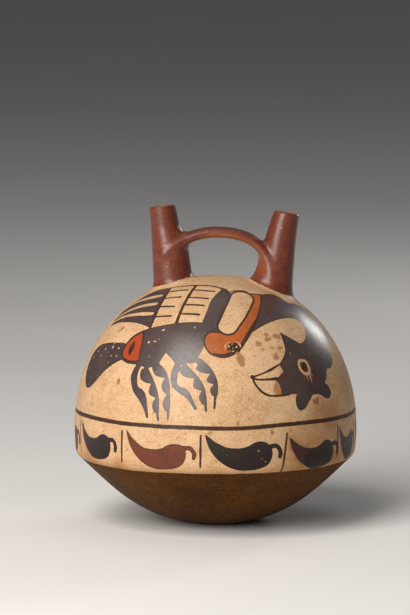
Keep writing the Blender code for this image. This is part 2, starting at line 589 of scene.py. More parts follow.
    def feet(self) -> list[Mark]:
        """Two feet of three toes: a plain hind toe and two with pads.

        Returns:
            The marks, from the lowest up.
        """
        hind = (Stroke(((-43.5, 15.5), (-46.4, 10.5), (-46.7, 5), (-45.6, 1), (-43.1, -2),
                        (-41.6, -5), (-40.6, -9), (-39.9, -12), (-39.6, -15.5)),
                       (3.2, 4.2, 4.0, 4.0, 5.4, 4.6, 3.0, 2.1, 1.6)),
                Stroke(((-20.3, 12.5), (-21.9, 8.5), (-22.9, 4), (-22.3, 0.2), (-20.0, -2.2),
                        (-17.1, -4.0), (-15.0, -6.4), (-13.5, -9), (-11.4, -13.0)),
                       (3.2, 3.9, 3.7, 3.1, 3.2, 4.1, 3.0, 2.2, 1.7)))
        padded = (toe(((-38.3, 13.8), (-35.2, 6.5), (-33.2, 1), (-31.8, -5), (-31.8, -10),
                       (-32.2, -14)), (-32.9, -18), (6.5, 5.1, 4.2), (-0.06, 0.38, 0.70)),
                  toe(((-32.4, 15.2), (-28.2, 10.6), (-25.8, 5), (-25.2, -2), (-25.2, -8),
                       (-25.8, -13.8)), (-27.0, -18), (6.2, 4.8, 4.4), (-0.06, 0.38, 0.70)),
                  toe(((-16.6, 12.4), (-11.5, 6.6), (-8.0, 1.8), (-5.9, -3), (-5.1, -8),
                       (-4.9, -11)), (-5.5, -14.6), (5.7, 5.2, 4.1), (-0.10, 0.38, 0.70)),
                  toe(((-14.5, 13.2), (-9.8, 14.8), (-6.2, 12.8), (-2.8, 8.8), (-0.4, 4.8),
                       (0.9, 0.3), (1.1, -3.8), (0.5, -7)), (-0.9, -13.2), (6.3, 5.4, 4.4),
                      (0.09, 0.55, 0.77)))
        return laid(Slip.BLACK, *hind, *(shape for shapes in padded for shape in shapes))

    def collar(self) -> list[Mark]:
        """The orange collar that loops round the pale slot at the root of the neck.

        Returns:
            The marks, from the lowest up.
        """
        loop = Blob(((20.3, 62.6), (27, 64.2)),
                    ((26.4, 57), (25, 49.5), (22.8, 41), (20, 33), (16, 25), (12.3, 19.3), (8, 16),
                     (3, 15), (-2.5, 16.8), (-5.8, 21.5), (-5.9, 27), (-2.5, 30.2), (3, 30.0),
                     (7.5, 32), (11.5, 38.5), (15.5, 47), (18, 55.5), (20.3, 62.6)))
        slot = Stroke(((6.4, 34.1), (10.0, 42.2), (13.0, 50), (15.1, 56.8)), (9.7, 11.2, 11.9, 12.2))
        over = Stroke(((8, 61.8), (12, 64.2), (17, 64.6), (20.5, 62.6), (26.5, 64.2)), (1.1,))
        foot = Stroke(((22.0, 40.0), (17.6, 30.0), (12.6, 20.8), (8.6, 17.2), (3.6, 15.8),
                       (-1.6, 17.0)), (1.0, 1.9, 1.7, 2.6, 2.2, 1.0))
        marks = laid(Slip.ORANGE, loop) + laid(Slip.LINE, Rim(loop, self.line), foot)
        marks += laid(Slip.BLACK, loop, takes=True) + laid(Slip.LINE, Rim(slot, 1.2, out=0.6))
        for slip in (Slip.ORANGE, Slip.BLACK, Slip.LINE):
            marks += laid(slip, slot, takes=True)
        return marks + laid(Slip.LINE, over)

    def head(self) -> list[Mark]:
        """The neck and crested head in one dark shape, with the eye left open in it.

        Returns:
            The marks, from the lowest up.
        """
        neck = Blob(((31, 66.8), (36, 68.3), (41, 66.8), (45, 64.2)),
                    ((50, 67.3), (55, 68.3), (60, 66.5), (66, 60.5), (71.5, 52), (74.5, 44),
                     (72.5, 37)),
                    ((75.5, 32), (75.6, 27), (73, 23), (70, 21.3)),
                    ((69.3, 18), (69, 14), (67.5, 10.7)),
                    ((71, 9.6), (73.3, 6), (72.3, 2.4), (69, 1), (63.5, 2), (58.2, 0.6)),
                    ((56, -3.5), (53.2, -8.5), (50, -10.5), (47.4, -9), (46.2, -5), (46.8, -1.2)),
                    ((41, -2.6), (37, -3.6)),
                    ((36.2, 0.8), (33.2, 5)),
                    ((38, 10.4),),
                    ((35.2, 14),),
                    ((38, 19.5), (39, 24), (37.8, 29.5), (36, 35)),
                    ((41, 33.4), (49, 31)),
                    ((52.3, 34), (53.8, 39.5), (53.4, 45), (50.5, 48.3), (46, 49), (39, 46),
                     (30, 40), (20, 31.6)),
                    ((23, 41), (25.2, 50), (26.5, 57), (27, 64)))
        eye = Blob(((49.2, 20.6), (52.6, 21.0), (54.4, 19.4)),
                   ((56.0, 16.4), (56.2, 13.6)),
                   ((54.0, 11.6), (51.4, 11.2)),
                   ((48.6, 13.0), (47.0, 16.2), (47.0, 19.4)))
        iris = Inset(eye, 1.75)
        pupil = Oval((51.4, 16.5), (1.7, 2.6), -8)
        tears = (Stroke(((54.6, 13.4), (56.6, 9.8), (57.0, 7.8)), (1.5, 1.0, 0.6)),
                 Stroke(((52.6, 12.2), (54.6, 8.6)), (0.9, 0.5)),
                 Stroke(((55.8, 14.2), (58.0, 11.6)), (0.9, 0.5)))
        tinged = (Oval((31, 53), (2.6, 7.5), -18), Oval((33.5, 60), (4.5, 1.8)),
                  Oval((58.5, 13), (2.2, 3.8)), Oval((56, 8.6), (3.6, 1.4), 20),
                  Oval((46, 60), (5.5, 1.6), -25), Oval((38, 9), (2.0, 3.4), 30))
        return (laid(Slip.BLACK, neck) + laid(Slip.BLACK, eye, *tears, takes=True)
                + laid(Slip.RUSSET, iris) + laid(Slip.LINE, pupil)
                + laid(Slip.RUBBED, *(Within(place, neck) for place in tinged)))

    def beak(self) -> list[Mark]:
        """The outlines of the open hooked beak.

        Returns:
            The marks, from the lowest up.
        """
        strokes = (Stroke(((19.6, 4.6), (25, 7), (30, 10), (35.2, 14)), (1.3, 0.9, 1.4, 1.1)),
                   Stroke(((19.6, 4.6), (23, 3.6), (28, 4.2), (33.6, 5.4)), (1.3, 1.2, 1.2, 2.2)),
                   Stroke(((19.8, 4.4), (21.5, 0.8), (25.5, -3.2), (30.5, -4.7), (37, -3.6),
                           (42, -2.4)), (1.0, 1.1, 1.4, 1.3, 1.5, 1.2)),
                   Oval((19.9, 4.7), (1.3, 1.2)))
        lower = Blob(((20.5, 3.6), (26, 4.0), (33.2, 4.8)), ((36.2, 0.8), (37, -3.4)),
                     ((30.5, -4.5), (25.5, -3.0), (21.7, 0.6), (20.5, 3.6)))
        warm = Within(Oval((35.6, 1.4), (3.6, 5.0), -12), lower)
        return laid(Slip.STAIN, warm) + laid(Slip.LINE, *strokes)

    def wear(self) -> list[Mark]:
        """The stains and small losses round the bird, where its slip has come to harm.

        Returns:
            The marks, from the lowest up.
        """
        stains = (Oval((34, 31.5), (2.4, 1.5), 20), Oval((29, 28.5), (2.4, 1.2), 40),
                  Oval((23, 24.5), (1.5, 2.2), 10), Oval((31, 23.5), (1.4, 0.8)),
                  Oval((33.2, 18.8), (1.5, 2.2)), Oval((36.0, 24.5), (1.7, 1.1), 30),
                  Oval((28.0, 31.0), (0.9, 1.4)), Oval((25.6, 21.6), (0.7, 0.9)),
                  Stroke(((11.9, 17.6), (12.5, 15.9), (13.3, 14.2), (14.0, 11.4)),
                         (1.8, 2.8, 4.4, 3.0)),
                  Oval((60.5, -3.4), (2.2, 1.9)), Oval((61.8, -1.0), (1.2, 1.0)),
                  Oval((-57.5, 8.6), (1.1, 1.5)), Oval((-58, 46), (3.0, 1.0), 15),
                  Oval((-3.5, -26.5), (1.1, 0.9)), Oval((12, -21), (0.8, 1.2)))
        losses = (Stroke(((5.3, 19.6), (4.9, 21.4), (5.9, 23.2), (7.7, 24.2)),
                         (0.7, 0.6, 0.6, 0.4)),
                  Stroke(((9.6, 24.5), (11.6, 24.1), (13.0, 22.9), (13.2, 21.8)),
                         (0.4, 0.6, 0.7, 0.5)),
                  Oval((7.0, 21.4), (0.45, 0.55)), Oval((8.7, 22.8), (0.25, 0.55), -30),
                  Oval((9.2, 18.7), (0.6, 0.3), 10), Oval((11.2, 18.0), (0.6, 0.3), 20),
                  Oval((11.0, 21.2), (0.25, 0.7), -25), Oval((9.0, 20.5), (0.2, 0.5), 15),
                  Oval((-83, 37), (0.8, 0.5), 20),
                  Oval((-63, 34), (1.2, 0.6), 60), Oval((-64, 28), (0.6, 0.5)),
                  Oval((-58, 31), (0.7, 0.4)), Oval((-29, 34.6), (1.0, 0.5), 15),
                  Oval((-37.5, 28.4), (0.7, 0.6)), Oval((-34, 28.2), (0.6, 0.5)),
                  Oval((-70, 36), (0.5, 0.7)), Oval((-66, 24), (0.5, 0.4)),
                  Oval((-62, 36.5), (0.6, 0.4)), Oval((-67, 32), (0.4, 0.5)),
                  Oval((-74, 33), (0.7, 0.4), 30), Oval((-78, 39), (0.5, 0.5)),
                  Oval((-87, 30), (0.4, 0.8)), Oval((-59.5, 26), (0.5, 0.4)))
        spots = (Oval((9.2, 21.2), (2.9, 2.4), 10), Oval((11.2, 20.0), (2.2, 2.1), -20),
                 Oval((6.4, 19.4), (0.7, 0.8)), Oval((10.6, 23.4), (1.4, 0.6), -10),
                 Oval((61.6, -1.9), (0.8, 0.6)), Oval((60.4, -3.6), (0.6, 0.5)),
                 Oval((-57.5, 9.5), (0.7, 0.6)))
        return laid(Slip.STAIN, *stains) + laid(Slip.LOSS, *losses) + laid(Slip.LINE, *spots)


class Pod(Enum):
    """How one pepper pod of the frieze is coloured."""

    BLACK = "black"
    RUSSET = "russet"
    TIPPED = "black with a russet tip"


@dataclass(frozen=True)
class Cell:
    """One cell of the frieze, with its pepper pod.

    Attributes:
        start: Where its left rule stands, in degrees to the right of the front.
        pod: How its pod is coloured.
        length: The pod's length, against the pattern's.
        depth: The pod's depth, against the pattern's.
        lift: How far the pod stands above the pattern's place, in millimetres.
        lean: How many degrees the foot of the left rule lies left of its head.
        shift: How many degrees the pod lies right of the cell's middle.
        sag: How much lower its back hangs, in millimetres.
        blunt: How broad its tip is, in millimetres.
        drop: How much further down the left rule reaches, in millimetres.
    """

    start: float
    pod: Pod
    length: float = 0.92
    depth: float = 1.08
    lift: float = 0.0
    lean: float = 0.4
    shift: float = 0.0
    sag: float = 0.7
    blunt: float = 1.0
    drop: float = 0.0


@dataclass(frozen=True)
class Frieze:
    """The band of pepper pods between ruled lines round the widest part of the body.

    Attributes:
        cells: The cells, going round to the right from the left edge of the front.
        top: The height of the rules' heads, in millimetres.
        foot: The height of their feet.
        line: The width of a rule.
        pod_z: The height that a pod is sized about.
    """

    cells: tuple[Cell, ...] = (
        Cell(-71.5, Pod.BLACK, 0.88, 1.08, 0.6, 0.0, -1.2, 0.9, 1.2),
        Cell(-40.5, Pod.RUSSET, 1.02, 1.13, -0.2, 0.3, -0.6, 1.6, 0.8),
        Cell(-6.0, Pod.BLACK, 1.06, 1.12, -0.4, 0.2, -1.1, 0.2, 1.8),
        Cell(29.6, Pod.TIPPED, 0.96, 1.06, -2.8, 2.2, 0.0, 0.2, 2.0, 4.0),
        Cell(58.8, Pod.BLACK, 0.58, 1.14, -1.4, 0.3, 0.1, 0.0),
        Cell(77.0, Pod.RUSSET), Cell(108.5, Pod.BLACK, 0.95, lift=0.3),
        Cell(140.0, Pod.TIPPED, 0.93, lift=-0.4), Cell(172.5, Pod.RUSSET, 0.96),
        Cell(205.0, Pod.BLACK, 0.90, lift=0.4), Cell(236.0, Pod.RUSSET, 0.62, 1.12),
        Cell(257.0, Pod.RUSSET, 0.88, 1.12, shift=0.8),
    )
    top: float = 58.6
    foot: float = 41.4
    line: float = 1.15
    pod_z: float = 49.6

    def charted(self) -> list[tuple[FriezeChart, list[Mark]]]:
        """Each cell's marks.

        Returns:
            Pairs of a chart and the marks that are drawn on it.
        """
        drawn = []
        for cell, after in zip(self.cells, self.cells[1:] + self.cells[:1]):
            width = (after.start - cell.start) % 360.0
            slant = cell.lean * FriezeChart.per_degree
            foot = self.foot - cell.drop
            rule = Stroke(((0.0, self.top), (-slant / 2, (self.top + foot) / 2), (-slant, foot)),
                          (self.line, 1.15 * self.line, 0.8 * self.line))
            drawn.append((FriezeChart(cell.start), laid(Slip.LINE, rule)))
            drawn.append((FriezeChart(cell.start + width / 2 + cell.shift), self.pod(cell)))
        dots = laid(Slip.STAIN, Oval((2.4, 60.0), (0.7, 0.9)), Oval((-9.0, 59.6), (0.9, 1.2)))
        dots += laid(Slip.LINE, Oval((-9.0, 59.2), (0.4, 0.5)))
        return [*drawn, (FriezeChart(self.cells[3].start), dots)]

    def pod(self, cell: Cell) -> list[Mark]:
        """One pepper pod hanging from the right, its tip turned up on the left.

        Args:
            cell: The cell that it hangs in.

        Returns:
            Its marks.
        """

        def placed(*points: Point) -> tuple[Point, ...]:
            """The points of the pattern pod, moved to this one's size and height."""
            return tuple((cell.length * x, self.pod_z + cell.lift + cell.depth * (z - self.pod_z))
                         for x, z in points)

        sag = cell.sag
        shank = (-14.6, 55.3 - sag / 2)
        pod = Blob(placed(shank, (-8.5, 52.6 - sag), (-2.0, 52 - sag),
                          (2.6, 52.8 - sag), (6.4, 54.6 - sag), (10, 55 - sag),
                          (13.4, 53.6 - sag / 2), (15.8, 49.5), (15.2, 45.6), (12.4, 42.6),
                          (6, 41), (-2, 41.0), (-8, 43.0), (-13.5, 47.0), (-17.4, 52.4),
                          (-19.5, 58.6)),
                   placed((cell.blunt - 19.5, 58.8 - 0.6 * cell.blunt), shank))
        stem = Stroke(placed((13.6, 51.4), (15.6, 52.3 - sag / 2), (17.8, 52.4 - sag / 2),
                             (19.6, 50.9 - sag / 2), (20.3, 48.6), (20.0, 46.8)),
                      (3.2, 2.6, 2.4, 2.4, 2.5, 2.2))
        slip = Slip.RUSSET if cell.pod is Pod.RUSSET else Slip.BLACK
        marks = laid(slip, pod, stem)
        if cell.pod is Pod.TIPPED:
            tip = Oval(placed((-16.0, 53.0))[0], (8.6, 11.6), 12)
            marks += laid(Slip.RUBBED, Within(pod, tip))
        return marks


@dataclass(frozen=True)
class Painting:
    """All that is painted on the wall.

    Attributes:
        charted: Charts with the marks that are drawn on them, in order.
    """

    charted: tuple[tuple[Chart, list[Mark]], ...]

    def distances(self, points: Array, on_wall: Array) -> dict[Slip, Array]:
        """How far points lie outside each slip, in millimetres.

        Args:
            points: The points, one a row.
            on_wall: Which of them lie on the painted face of the wall.

        Returns:
            An array for each slip.
        """
        found = {slip: np.full(len(points), FAR) for slip in Slip}
        for chart, marks in self.charted:
            at = chart.flat(points)
            for mark in marks:
                reach = np.where(on_wall, mark.shape.distance(at), FAR)
                layer = found[mark.slip]
                found[mark.slip] = (np.maximum(layer, -reach) if mark.takes
                                    else np.minimum(layer, reach))
        return found


# ---- forms


def section_frame(across: Vector, side: Vector, along: Vector, centre: Vector) -> Matrix:
    """The transform that carries a section drawn in the XY plane to its place in the bottle."""
    turn = Matrix((across, side, along)).transposed().to_4x4()
    return Matrix.Translation(centre) @ turn


@dataclass(frozen=True)
class TurnedBody:
    """The hollow globular body: a superelliptic dome over a rounded bowl with a flat spot.

    Attributes:
        radius: The body's greatest radius.
        widest_z: The height of its greatest radius.
        crown_z: The top of the dome.
        power: The exponent of the dome's superellipse, 2 being an ellipse.
        foot_radius: The radius of the flat spot it stands on.
        shoulder_z: The height of the soft edge between the bowl and the upper wall.
        shoulder_inset: How far the shoulder lies inside the dome's own curve.
        shoulder_blend: The height over which the shoulder turns into the dome.
        foot_slope: The bowl's rise beside the foot, in degrees.
        shoulder_slope: Its rise under the shoulder, in degrees.
        foot_reach: The length of the bowl curve's tangent at the foot.
        shoulder_reach: The length of its tangent at the shoulder.
        wall: The thickness of the wall.
        floor: The thickness of the floor.
        spacing: The distance between mesh rows on the painted wall.
        columns: How many mesh columns go round the outside.
        inner_columns: How many go round the cavity.
    """

    radius: float = 0.0779
    widest_z: float = 0.052
    crown_z: float = 0.136
    power: float = 2.1
    foot_radius: float = 0.0165
    shoulder_z: float = 0.0377
    shoulder_inset: float = 0.0008
    shoulder_blend: float = 0.0060
    foot_slope: float = 10.1
    shoulder_slope: float = 44.0
    foot_reach: float = 0.0291
    shoulder_reach: float = 0.0257
    wall: float = 0.0045
    floor: float = 0.0055
    spacing: float = 0.0020
    columns: int = 248
    inner_columns: int = 96

    def dome_radius(self, z: Array | float, inset: float = 0.0) -> Array | float:
        """Radius of the upper body at a height, or of a surface that lies inset inside it."""
        share = np.minimum(np.abs(z - self.widest_z) / (self.crown_z - self.widest_z - inset), 1.0)
        return (self.radius - inset) * (1.0 - share**self.power) ** (1.0 / self.power)

    def profile(self, spacing: float, inset: float = 0.0, floor: float = 0.0) -> Array:
        """The body's section from the middle of its foot to its crown.

        Args:
            spacing: The distance between points on the wall. The bowl gets twice that.
            inset: How far inside the outer surface the section lies.
            floor: The height of its middle.

        Returns:
            Rows of radius and height.
        """
        low, high = math.radians(self.foot_slope), math.radians(self.shoulder_slope)
        out_low = np.array([math.cos(low), math.sin(low)])
        out_high = np.array([math.cos(high), math.sin(high)])
        rim = np.array([self.dome_radius(self.shoulder_z) - self.shoulder_inset - inset,
                        self.shoulder_z + 0.35 * inset])
        heel = np.array([self.foot_radius, floor])
        bowl = bezier((heel, heel + self.foot_reach * out_low,
                       rim - self.shoulder_reach * out_high, rim), 60)
        start = self.shoulder_z + self.shoulder_blend
        joined = np.array([self.dome_radius(start, inset), start])
        blend = bezier((rim, rim + 0.30 * self.shoulder_blend * out_high,
                        joined - np.array([0.0, 0.34 * self.shoulder_blend]), joined), 12)
        reach = self.crown_z - self.widest_z - inset
        angles = np.linspace(math.asin((start - self.widest_z) / reach), math.pi / 2, 240)
        heights = self.widest_z + reach * np.sin(angles)
        dome = np.column_stack([self.dome_radius(heights, inset), heights])
        dome[-1, 0] = 0.0
        foot = spaced(np.array([[0.0, floor], heel]), 2 * spacing)
        wall = spaced(np.vstack([blend, dome[1:]]), spacing)
        return np.vstack([foot[:-1], spaced(bowl, 2 * spacing)[:-1], wall])

    def outside(self) -> Object:
        """The body's outer form as a closed solid."""
        return spun(self.profile(self.spacing), self.columns, "body_outside")

    def cavity(self) -> Object:
        """The hollow inside it as a closed solid."""
        return spun(self.profile(1.6 * self.spacing, self.wall, self.floor), self.inner_columns,
                    "body_cavity")

    def distance(self, points: Array) -> Array:
        """How far points lie outside the dome, nearly, for those above the shoulder.

        Args:
            points: The places, one a row.

        Returns:
            Their distances.
        """
        offset = points - np.array([0.0, 0.0, self.widest_z])
        round_axis = np.hypot(offset[:, 0], offset[:, 1]) / self.radius
        up = np.abs(offset[:, 2]) / (self.crown_z - self.widest_z)
        swell = (round_axis**self.power + up**self.power) ** (1.0 / self.power)
        return (swell - 1.0) * np.linalg.norm(offset, axis=1) / np.maximum(swell, 1e-6)


@dataclass(frozen=True)
class Spout:
    """One leaning, tapering tube with a rounded lip.

    Attributes:
        name: The spout's name.
        stations: Three places on its axis from root to lip, as (x, z, outer radius).
        swell: How much its radius grows, towards the other spout, at even steps from the root.
        root_wall: Its wall's thickness where it runs into the body.
        lip_wall: Its wall's thickness at the lip.
        sides: How many mesh columns go round it.
        spacing: The distance between mesh rows.
        overrun: How far the bore carries on into the cavity.
    """

    name: str
    stations: tuple[tuple[float, float, float], ...]
    swell: tuple[float, ...]
    root_wall: float = 0.0024
    lip_wall: float = 0.0019
    sides: int = 48
    spacing: float = 0.0012
    overrun: float = 0.004

    @property
    def root(self) -> Array:
        """The lower end of its axis."""
        return np.array([self.stations[0][0], 0.0, self.stations[0][1]])

    @property
    def mouth(self) -> Array:
        """The upper end of its axis."""
        return np.array([self.stations[-1][0], 0.0, self.stations[-1][1]])

    @property
    def length(self) -> float:
        """The straight distance from root to lip."""
        return float(np.linalg.norm(self.mouth - self.root))

    def axis(self, share: Array) -> Array:
        """Places on the axis at shares of its length, as rows of x, z and outer radius.

        Args:
            share: The shares, from the root at 0 to the lip at 1.

        Returns:
            The rows.
        """
        low, middle, high = (np.array(station) for station in self.stations)
        t = np.asarray(share, float)[:, None]
        found = 2 * (t - 0.5) * (t - 1) * low + 4 * t * (1 - t) * middle + 2 * t * (t - 0.5) * high
        steps = np.linspace(0.0, 1.0, len(self.swell))
        swell = spline(np.column_stack([steps, self.swell]), 12)
        spread = np.interp(t[:, 0], swell[:, 0], swell[:, 1])
        found[:, 0] -= np.copysign(spread, found[:, 0])
        found[:, 2] += spread
        return found

    def ring(self, share: float, wall: float, beyond: float = 0.0) -> Matrix:
        """The transform of a unit circle to the ring that lies a wall inside the spout.

        Args:
            share: The ring's place, as a share of the spout's length.
            wall: How far inside the outer surface it lies.
            beyond: How far it is moved on along the axis.

        Returns:
            The transform from the XY plane.
        """
        x, z, radius = self.axis(np.array([share]))[0]
        along = Vector((self.mouth - self.root) / self.length)
        across = Vector((along.z, 0.0, -along.x))
        centre = Vector((x, 0.0, z)) + beyond * along
        size = radius - wall
        return (section_frame(across, Vector((0, 1, 0)), along, centre)
                @ Matrix.Diagonal((size, size, 1.0, 1.0)))

    def rings(self, bore: bool) -> list[Matrix]:
        """The rings of the outer form or of the bore, up to the crest of the lip.

        Args:
            bore: Whether it is the bore.

        Returns:
            The transform of a unit circle to each ring.
        """
        rows = round(self.length / self.spacing)
        half_lip = self.lip_wall / 2
        highest = 1.0 - half_lip / self.length
        rings = [self.ring(0.0, self.root_wall, -self.overrun)] if bore else []
        for share in np.linspace(0.0, highest, rows + 1):
            wall = self.root_wall + (self.lip_wall - self.root_wall) * share
            rings.append(self.ring(share, wall if bore else 0.0))
        for turn in (22.5, 45.0, 67.5, 90.0):
            rise, draw = math.sin(math.radians(turn)), 1.0 - math.cos(math.radians(turn))
            inward = self.lip_wall - half_lip * draw if bore else half_lip * draw
            rings.append(self.ring(1.0, inward, half_lip * (rise - 1.0)))
        return rings

    def solid(self, bore: bool = False) -> Object:
        """The spout's outer form as a closed solid, or that of the bore inside it.

        Args:
            bore: Whether it is the bore.

        Returns:
            The linked object.
        """
        mesh = bmesh.new()
        verts = bmesh.ops.create_circle(mesh, segments=self.sides, radius=1.0)["verts"]
        sweep(mesh, verts, self.rings(bore))
        return made_object(mesh, f"{self.name}_{'bore' if bore else 'outside'}")

    def distance(self, points: Array) -> Array:
        """How far points lie outside the spout.

        Args:
            points: The places, one a row.

        Returns:
            Their distances.
        """
        track = self.axis(np.linspace(0.0, 1.0, 17))
        route = np.column_stack([track[:, 0], np.zeros(len(track)), track[:, 1]])
        return reach_to_route(points, route, track[:, 2])[0]

    def chart(self, points: Array) -> tuple[Array, Array, Array]:
        """Each point's turn round the axis, place along it and distance from it.

        Args:
            points: The places, one a row.

        Returns:
            The turns in radians, the places and the distances.
        """
        along = (self.mouth - self.root) / self.length
        across = np.array([along[2], 0.0, -along[0]])
        run = (points - self.root) @ along
        middle = self.axis(np.clip(run / self.length, 0.0, 1.0))
        offset = points - np.column_stack([middle[:, 0], np.zeros(len(points)), middle[:, 1]])
        beside = offset @ across
        return np.arctan2(offset[:, 1], beside), run, np.hypot(offset[:, 1], beside)


@dataclass(frozen=True)
class Strap:
    """The strap handle that bridges the spouts, low on the right where it runs down beside one.

    Attributes:
        route: Its centreline from the left spout to the right one, as (x, z).
        width: Its width across the bottle.
        thickness: Its thickness.
        spread: How much wider it is where it meets the spouts.
        power: The exponent of its rounded section, 2 being an ellipse.
        sides: How many mesh columns go round its section.
        spacing: The distance between its mesh rows.
    """

    route: tuple[Point, ...] = (
        (-0.0278, 0.1492), (-0.0226, 0.1523), (-0.0160, 0.1566), (-0.0070, 0.1595),
        (0.0022, 0.1601), (0.0115, 0.1590), (0.0195, 0.1560), (0.0256, 0.1504),
        (0.0293, 0.1425), (0.0312, 0.1330))
    width: float = 0.0160
    thickness: float = 0.0058
    spread: float = 0.0028
    power: float = 2.8
    sides: int = 40
    spacing: float = 0.0012

    def centreline(self, spacing: float) -> Array:
        """Points along the middle of the strap, evenly spaced."""
        flat = spaced(spline(self.route, 24), spacing)
        return np.column_stack([flat[:, 0], np.zeros(len(flat)), flat[:, 1]])

    def half_width(self, runs: Array, length: float) -> Array:
        """Half its width at places along a centreline of some length."""
        towards_end = np.clip((np.abs(2.0 * runs / length - 1.0) - 0.35) / 0.65, 0.0, 1.0)
        return (self.width + self.spread * towards_end**1.5) / 2

    def solid(self) -> Object:
        """The strap as a closed solid whose ends lie inside the spouts.

        Returns:
            The linked object.
        """
        mesh = bmesh.new()
        verts = bmesh.ops.create_circle(mesh, segments=self.sides, radius=1.0)["verts"]
        for vert in verts:
            for axis, half in enumerate((self.width / 2, self.thickness / 2)):
                value = vert.co[axis]
                vert.co[axis] = math.copysign(abs(value) ** (2.0 / self.power), value) * half
        line = self.centreline(self.spacing)
        runs = runs_along(line)
        widening = 2.0 * self.half_width(runs, runs[-1]) / self.width
        places = []
        for centre, way, wide in zip(line, np.gradient(line, axis=0), widening):
            along = Vector(way).normalized()
            up = Vector((-along.z, 0.0, along.x))
            frame_here = section_frame(Vector((0, -1, 0)), up, along, Vector(centre))
            places.append(frame_here @ Matrix.Diagonal((wide, 1.0, 1.0, 1.0)))
        sweep(mesh, verts, places)
        return made_object(mesh, "strap_outside")

    def distance(self, points: Array) -> Array:
        """How far points lie outside the strap, nearly.

        Args:
            points: The places, one a row.

        Returns:
            Their distances.
        """
        line = self.centreline(2.0 * self.spacing)
        runs = runs_along(line)
        widths = self.half_width(runs, runs[-1])
        _, nearest = reach_to_route(points, line, np.zeros(len(line)))
        offset = points - nearest
        beside = np.abs(offset[:, 1]) / np.interp(nearest[:, 0], line[:, 0], widths)
        above = np.hypot(offset[:, 0], offset[:, 2]) / (self.thickness / 2)
        swell = np.maximum((beside**self.power + above**self.power) ** (1.0 / self.power), 1e-6)
        return (swell - 1.0) * np.linalg.norm(offset, axis=1) / swell


# ---- meshes


def spun(section: Array, columns: int, name: str) -> Object:
    """The closed solid that a line of radius and height pairs sweeps out round Z.

    Args:
        section: The line, with both of its ends on the axis.
        columns: How many faces go round.
        name: The object's name.

    Returns:
        The linked object.
    """
    mesh = bmesh.new()
    line = [mesh.verts.new((radius, 0.0, z)) for radius, z in section]
    edges = [mesh.edges.new(pair) for pair in zip(line, line[1:])]
    bmesh.ops.spin(mesh, geom=line + edges, cent=(0, 0, 0), axis=(0, 0, 1), angle=math.tau,
                   steps=columns, use_merge=True, use_duplicate=False)
    bmesh.ops.remove_doubles(mesh, verts=mesh.verts, dist=1e-6)
    return made_object(mesh, name)


def sweep(mesh: Mesh, verts: Iterable[Vert],
          places: Sequence[Matrix]) -> None:
    """Extrudes a ring of vertices from place to place and caps both ends.

    Args:
        mesh: The mesh that holds the ring.
        verts: The ring, as drawn in the XY plane.
        places: The transform of each ring from that plane.
    """
    verts = list(verts)
    edges = list(dict.fromkeys(edge for vert in verts for edge in vert.link_edges))
    bmesh.ops.transform(mesh, matrix=places[0], verts=verts)
    bmesh.ops.edgeloop_fill(mesh, edges=edges)
    for before, after in zip(places, places[1:]):
        grown = bmesh.ops.extrude_edge_only(mesh, edges=edges)["geom"]
        verts = [item for item in grown if isinstance(item, Vert)]
        edges = [item for item in grown if isinstance(item, bmesh.types.BMEdge)]
        bmesh.ops.transform(mesh, matrix=after @ before.inverted(), verts=verts)
    bmesh.ops.edgeloop_fill(mesh, edges=edges)


def linked(mesh: Mesh, name: str) -> Object:
    """The linked object of a bmesh.

    Args:
        mesh: The bmesh, which is used up.
        name: The object's name.

    Returns:
        The object.
    """
    data = bpy.data.meshes.new(name)
    mesh.to_mesh(data)
    mesh.free()
    obj = bpy.data.objects.new(name, data)
    bpy.context.scene.collection.objects.link(obj)
    return obj


def made_object(mesh: Mesh, name: str) -> Object:
    """The linked object of a bmesh, with its faces turned to point outwards."""
    bmesh.ops.recalc_face_normals(mesh, faces=mesh.faces)
    return linked(mesh, name)


def united(base: Object, parts: Sequence[Object]) -> Mesh:
    """The union of solids, as a new bmesh. The solids are removed.

    Args:
        base: The first solid.
        parts: Those that are joined to it.

    Returns:
        The union.
    """
    for part in parts:
        joint = base.modifiers.new(part.name, "BOOLEAN")
        joint.operation = "UNION"
        joint.solver = "EXACT"
        joint.object = part
    mesh = bmesh.new()
    mesh.from_object(base, bpy.context.evaluated_depsgraph_get())
    for obj in (base, *parts):
        bpy.data.objects.remove(obj)
    return mesh


def positions(items: Sequence[Vert]) -> Array:
    """The places of vertices, one a row."""
    return np.array([item.co[:] for item in items])


def centres(faces: Sequence[bmesh.types.BMFace]) -> Array:
    """The middles of faces, one a row."""
    return np.array([face.calc_center_median()[:] for face in faces])


def smooth_minimum(first: Array, second: Array, reach: float) -> Array:
    """The lesser of two distances, eased where they are within reach of each other."""
    ease = np.maximum(reach - np.abs(first - second), 0.0) / reach
    return np.minimum(first, second) - ease * ease * reach / 4


def uncap(mesh: Mesh, spout: Spout, reach: float = 0.003) -> None:
    """Removes the cap at the top of a spout or bore.

    Args:
        mesh: The mesh that has the cap.
        spout: The spout.
        reach: How near its mouth the cap's middle lies.
    """
    top = Vector(spout.mouth)
    caps = [face for face in mesh.faces if (face.calc_center_median() - top).length < reach]
    cap = max(caps, key=lambda face: len(face.verts))
    bmesh.ops.delete(mesh, geom=[cap], context="FACES_ONLY")


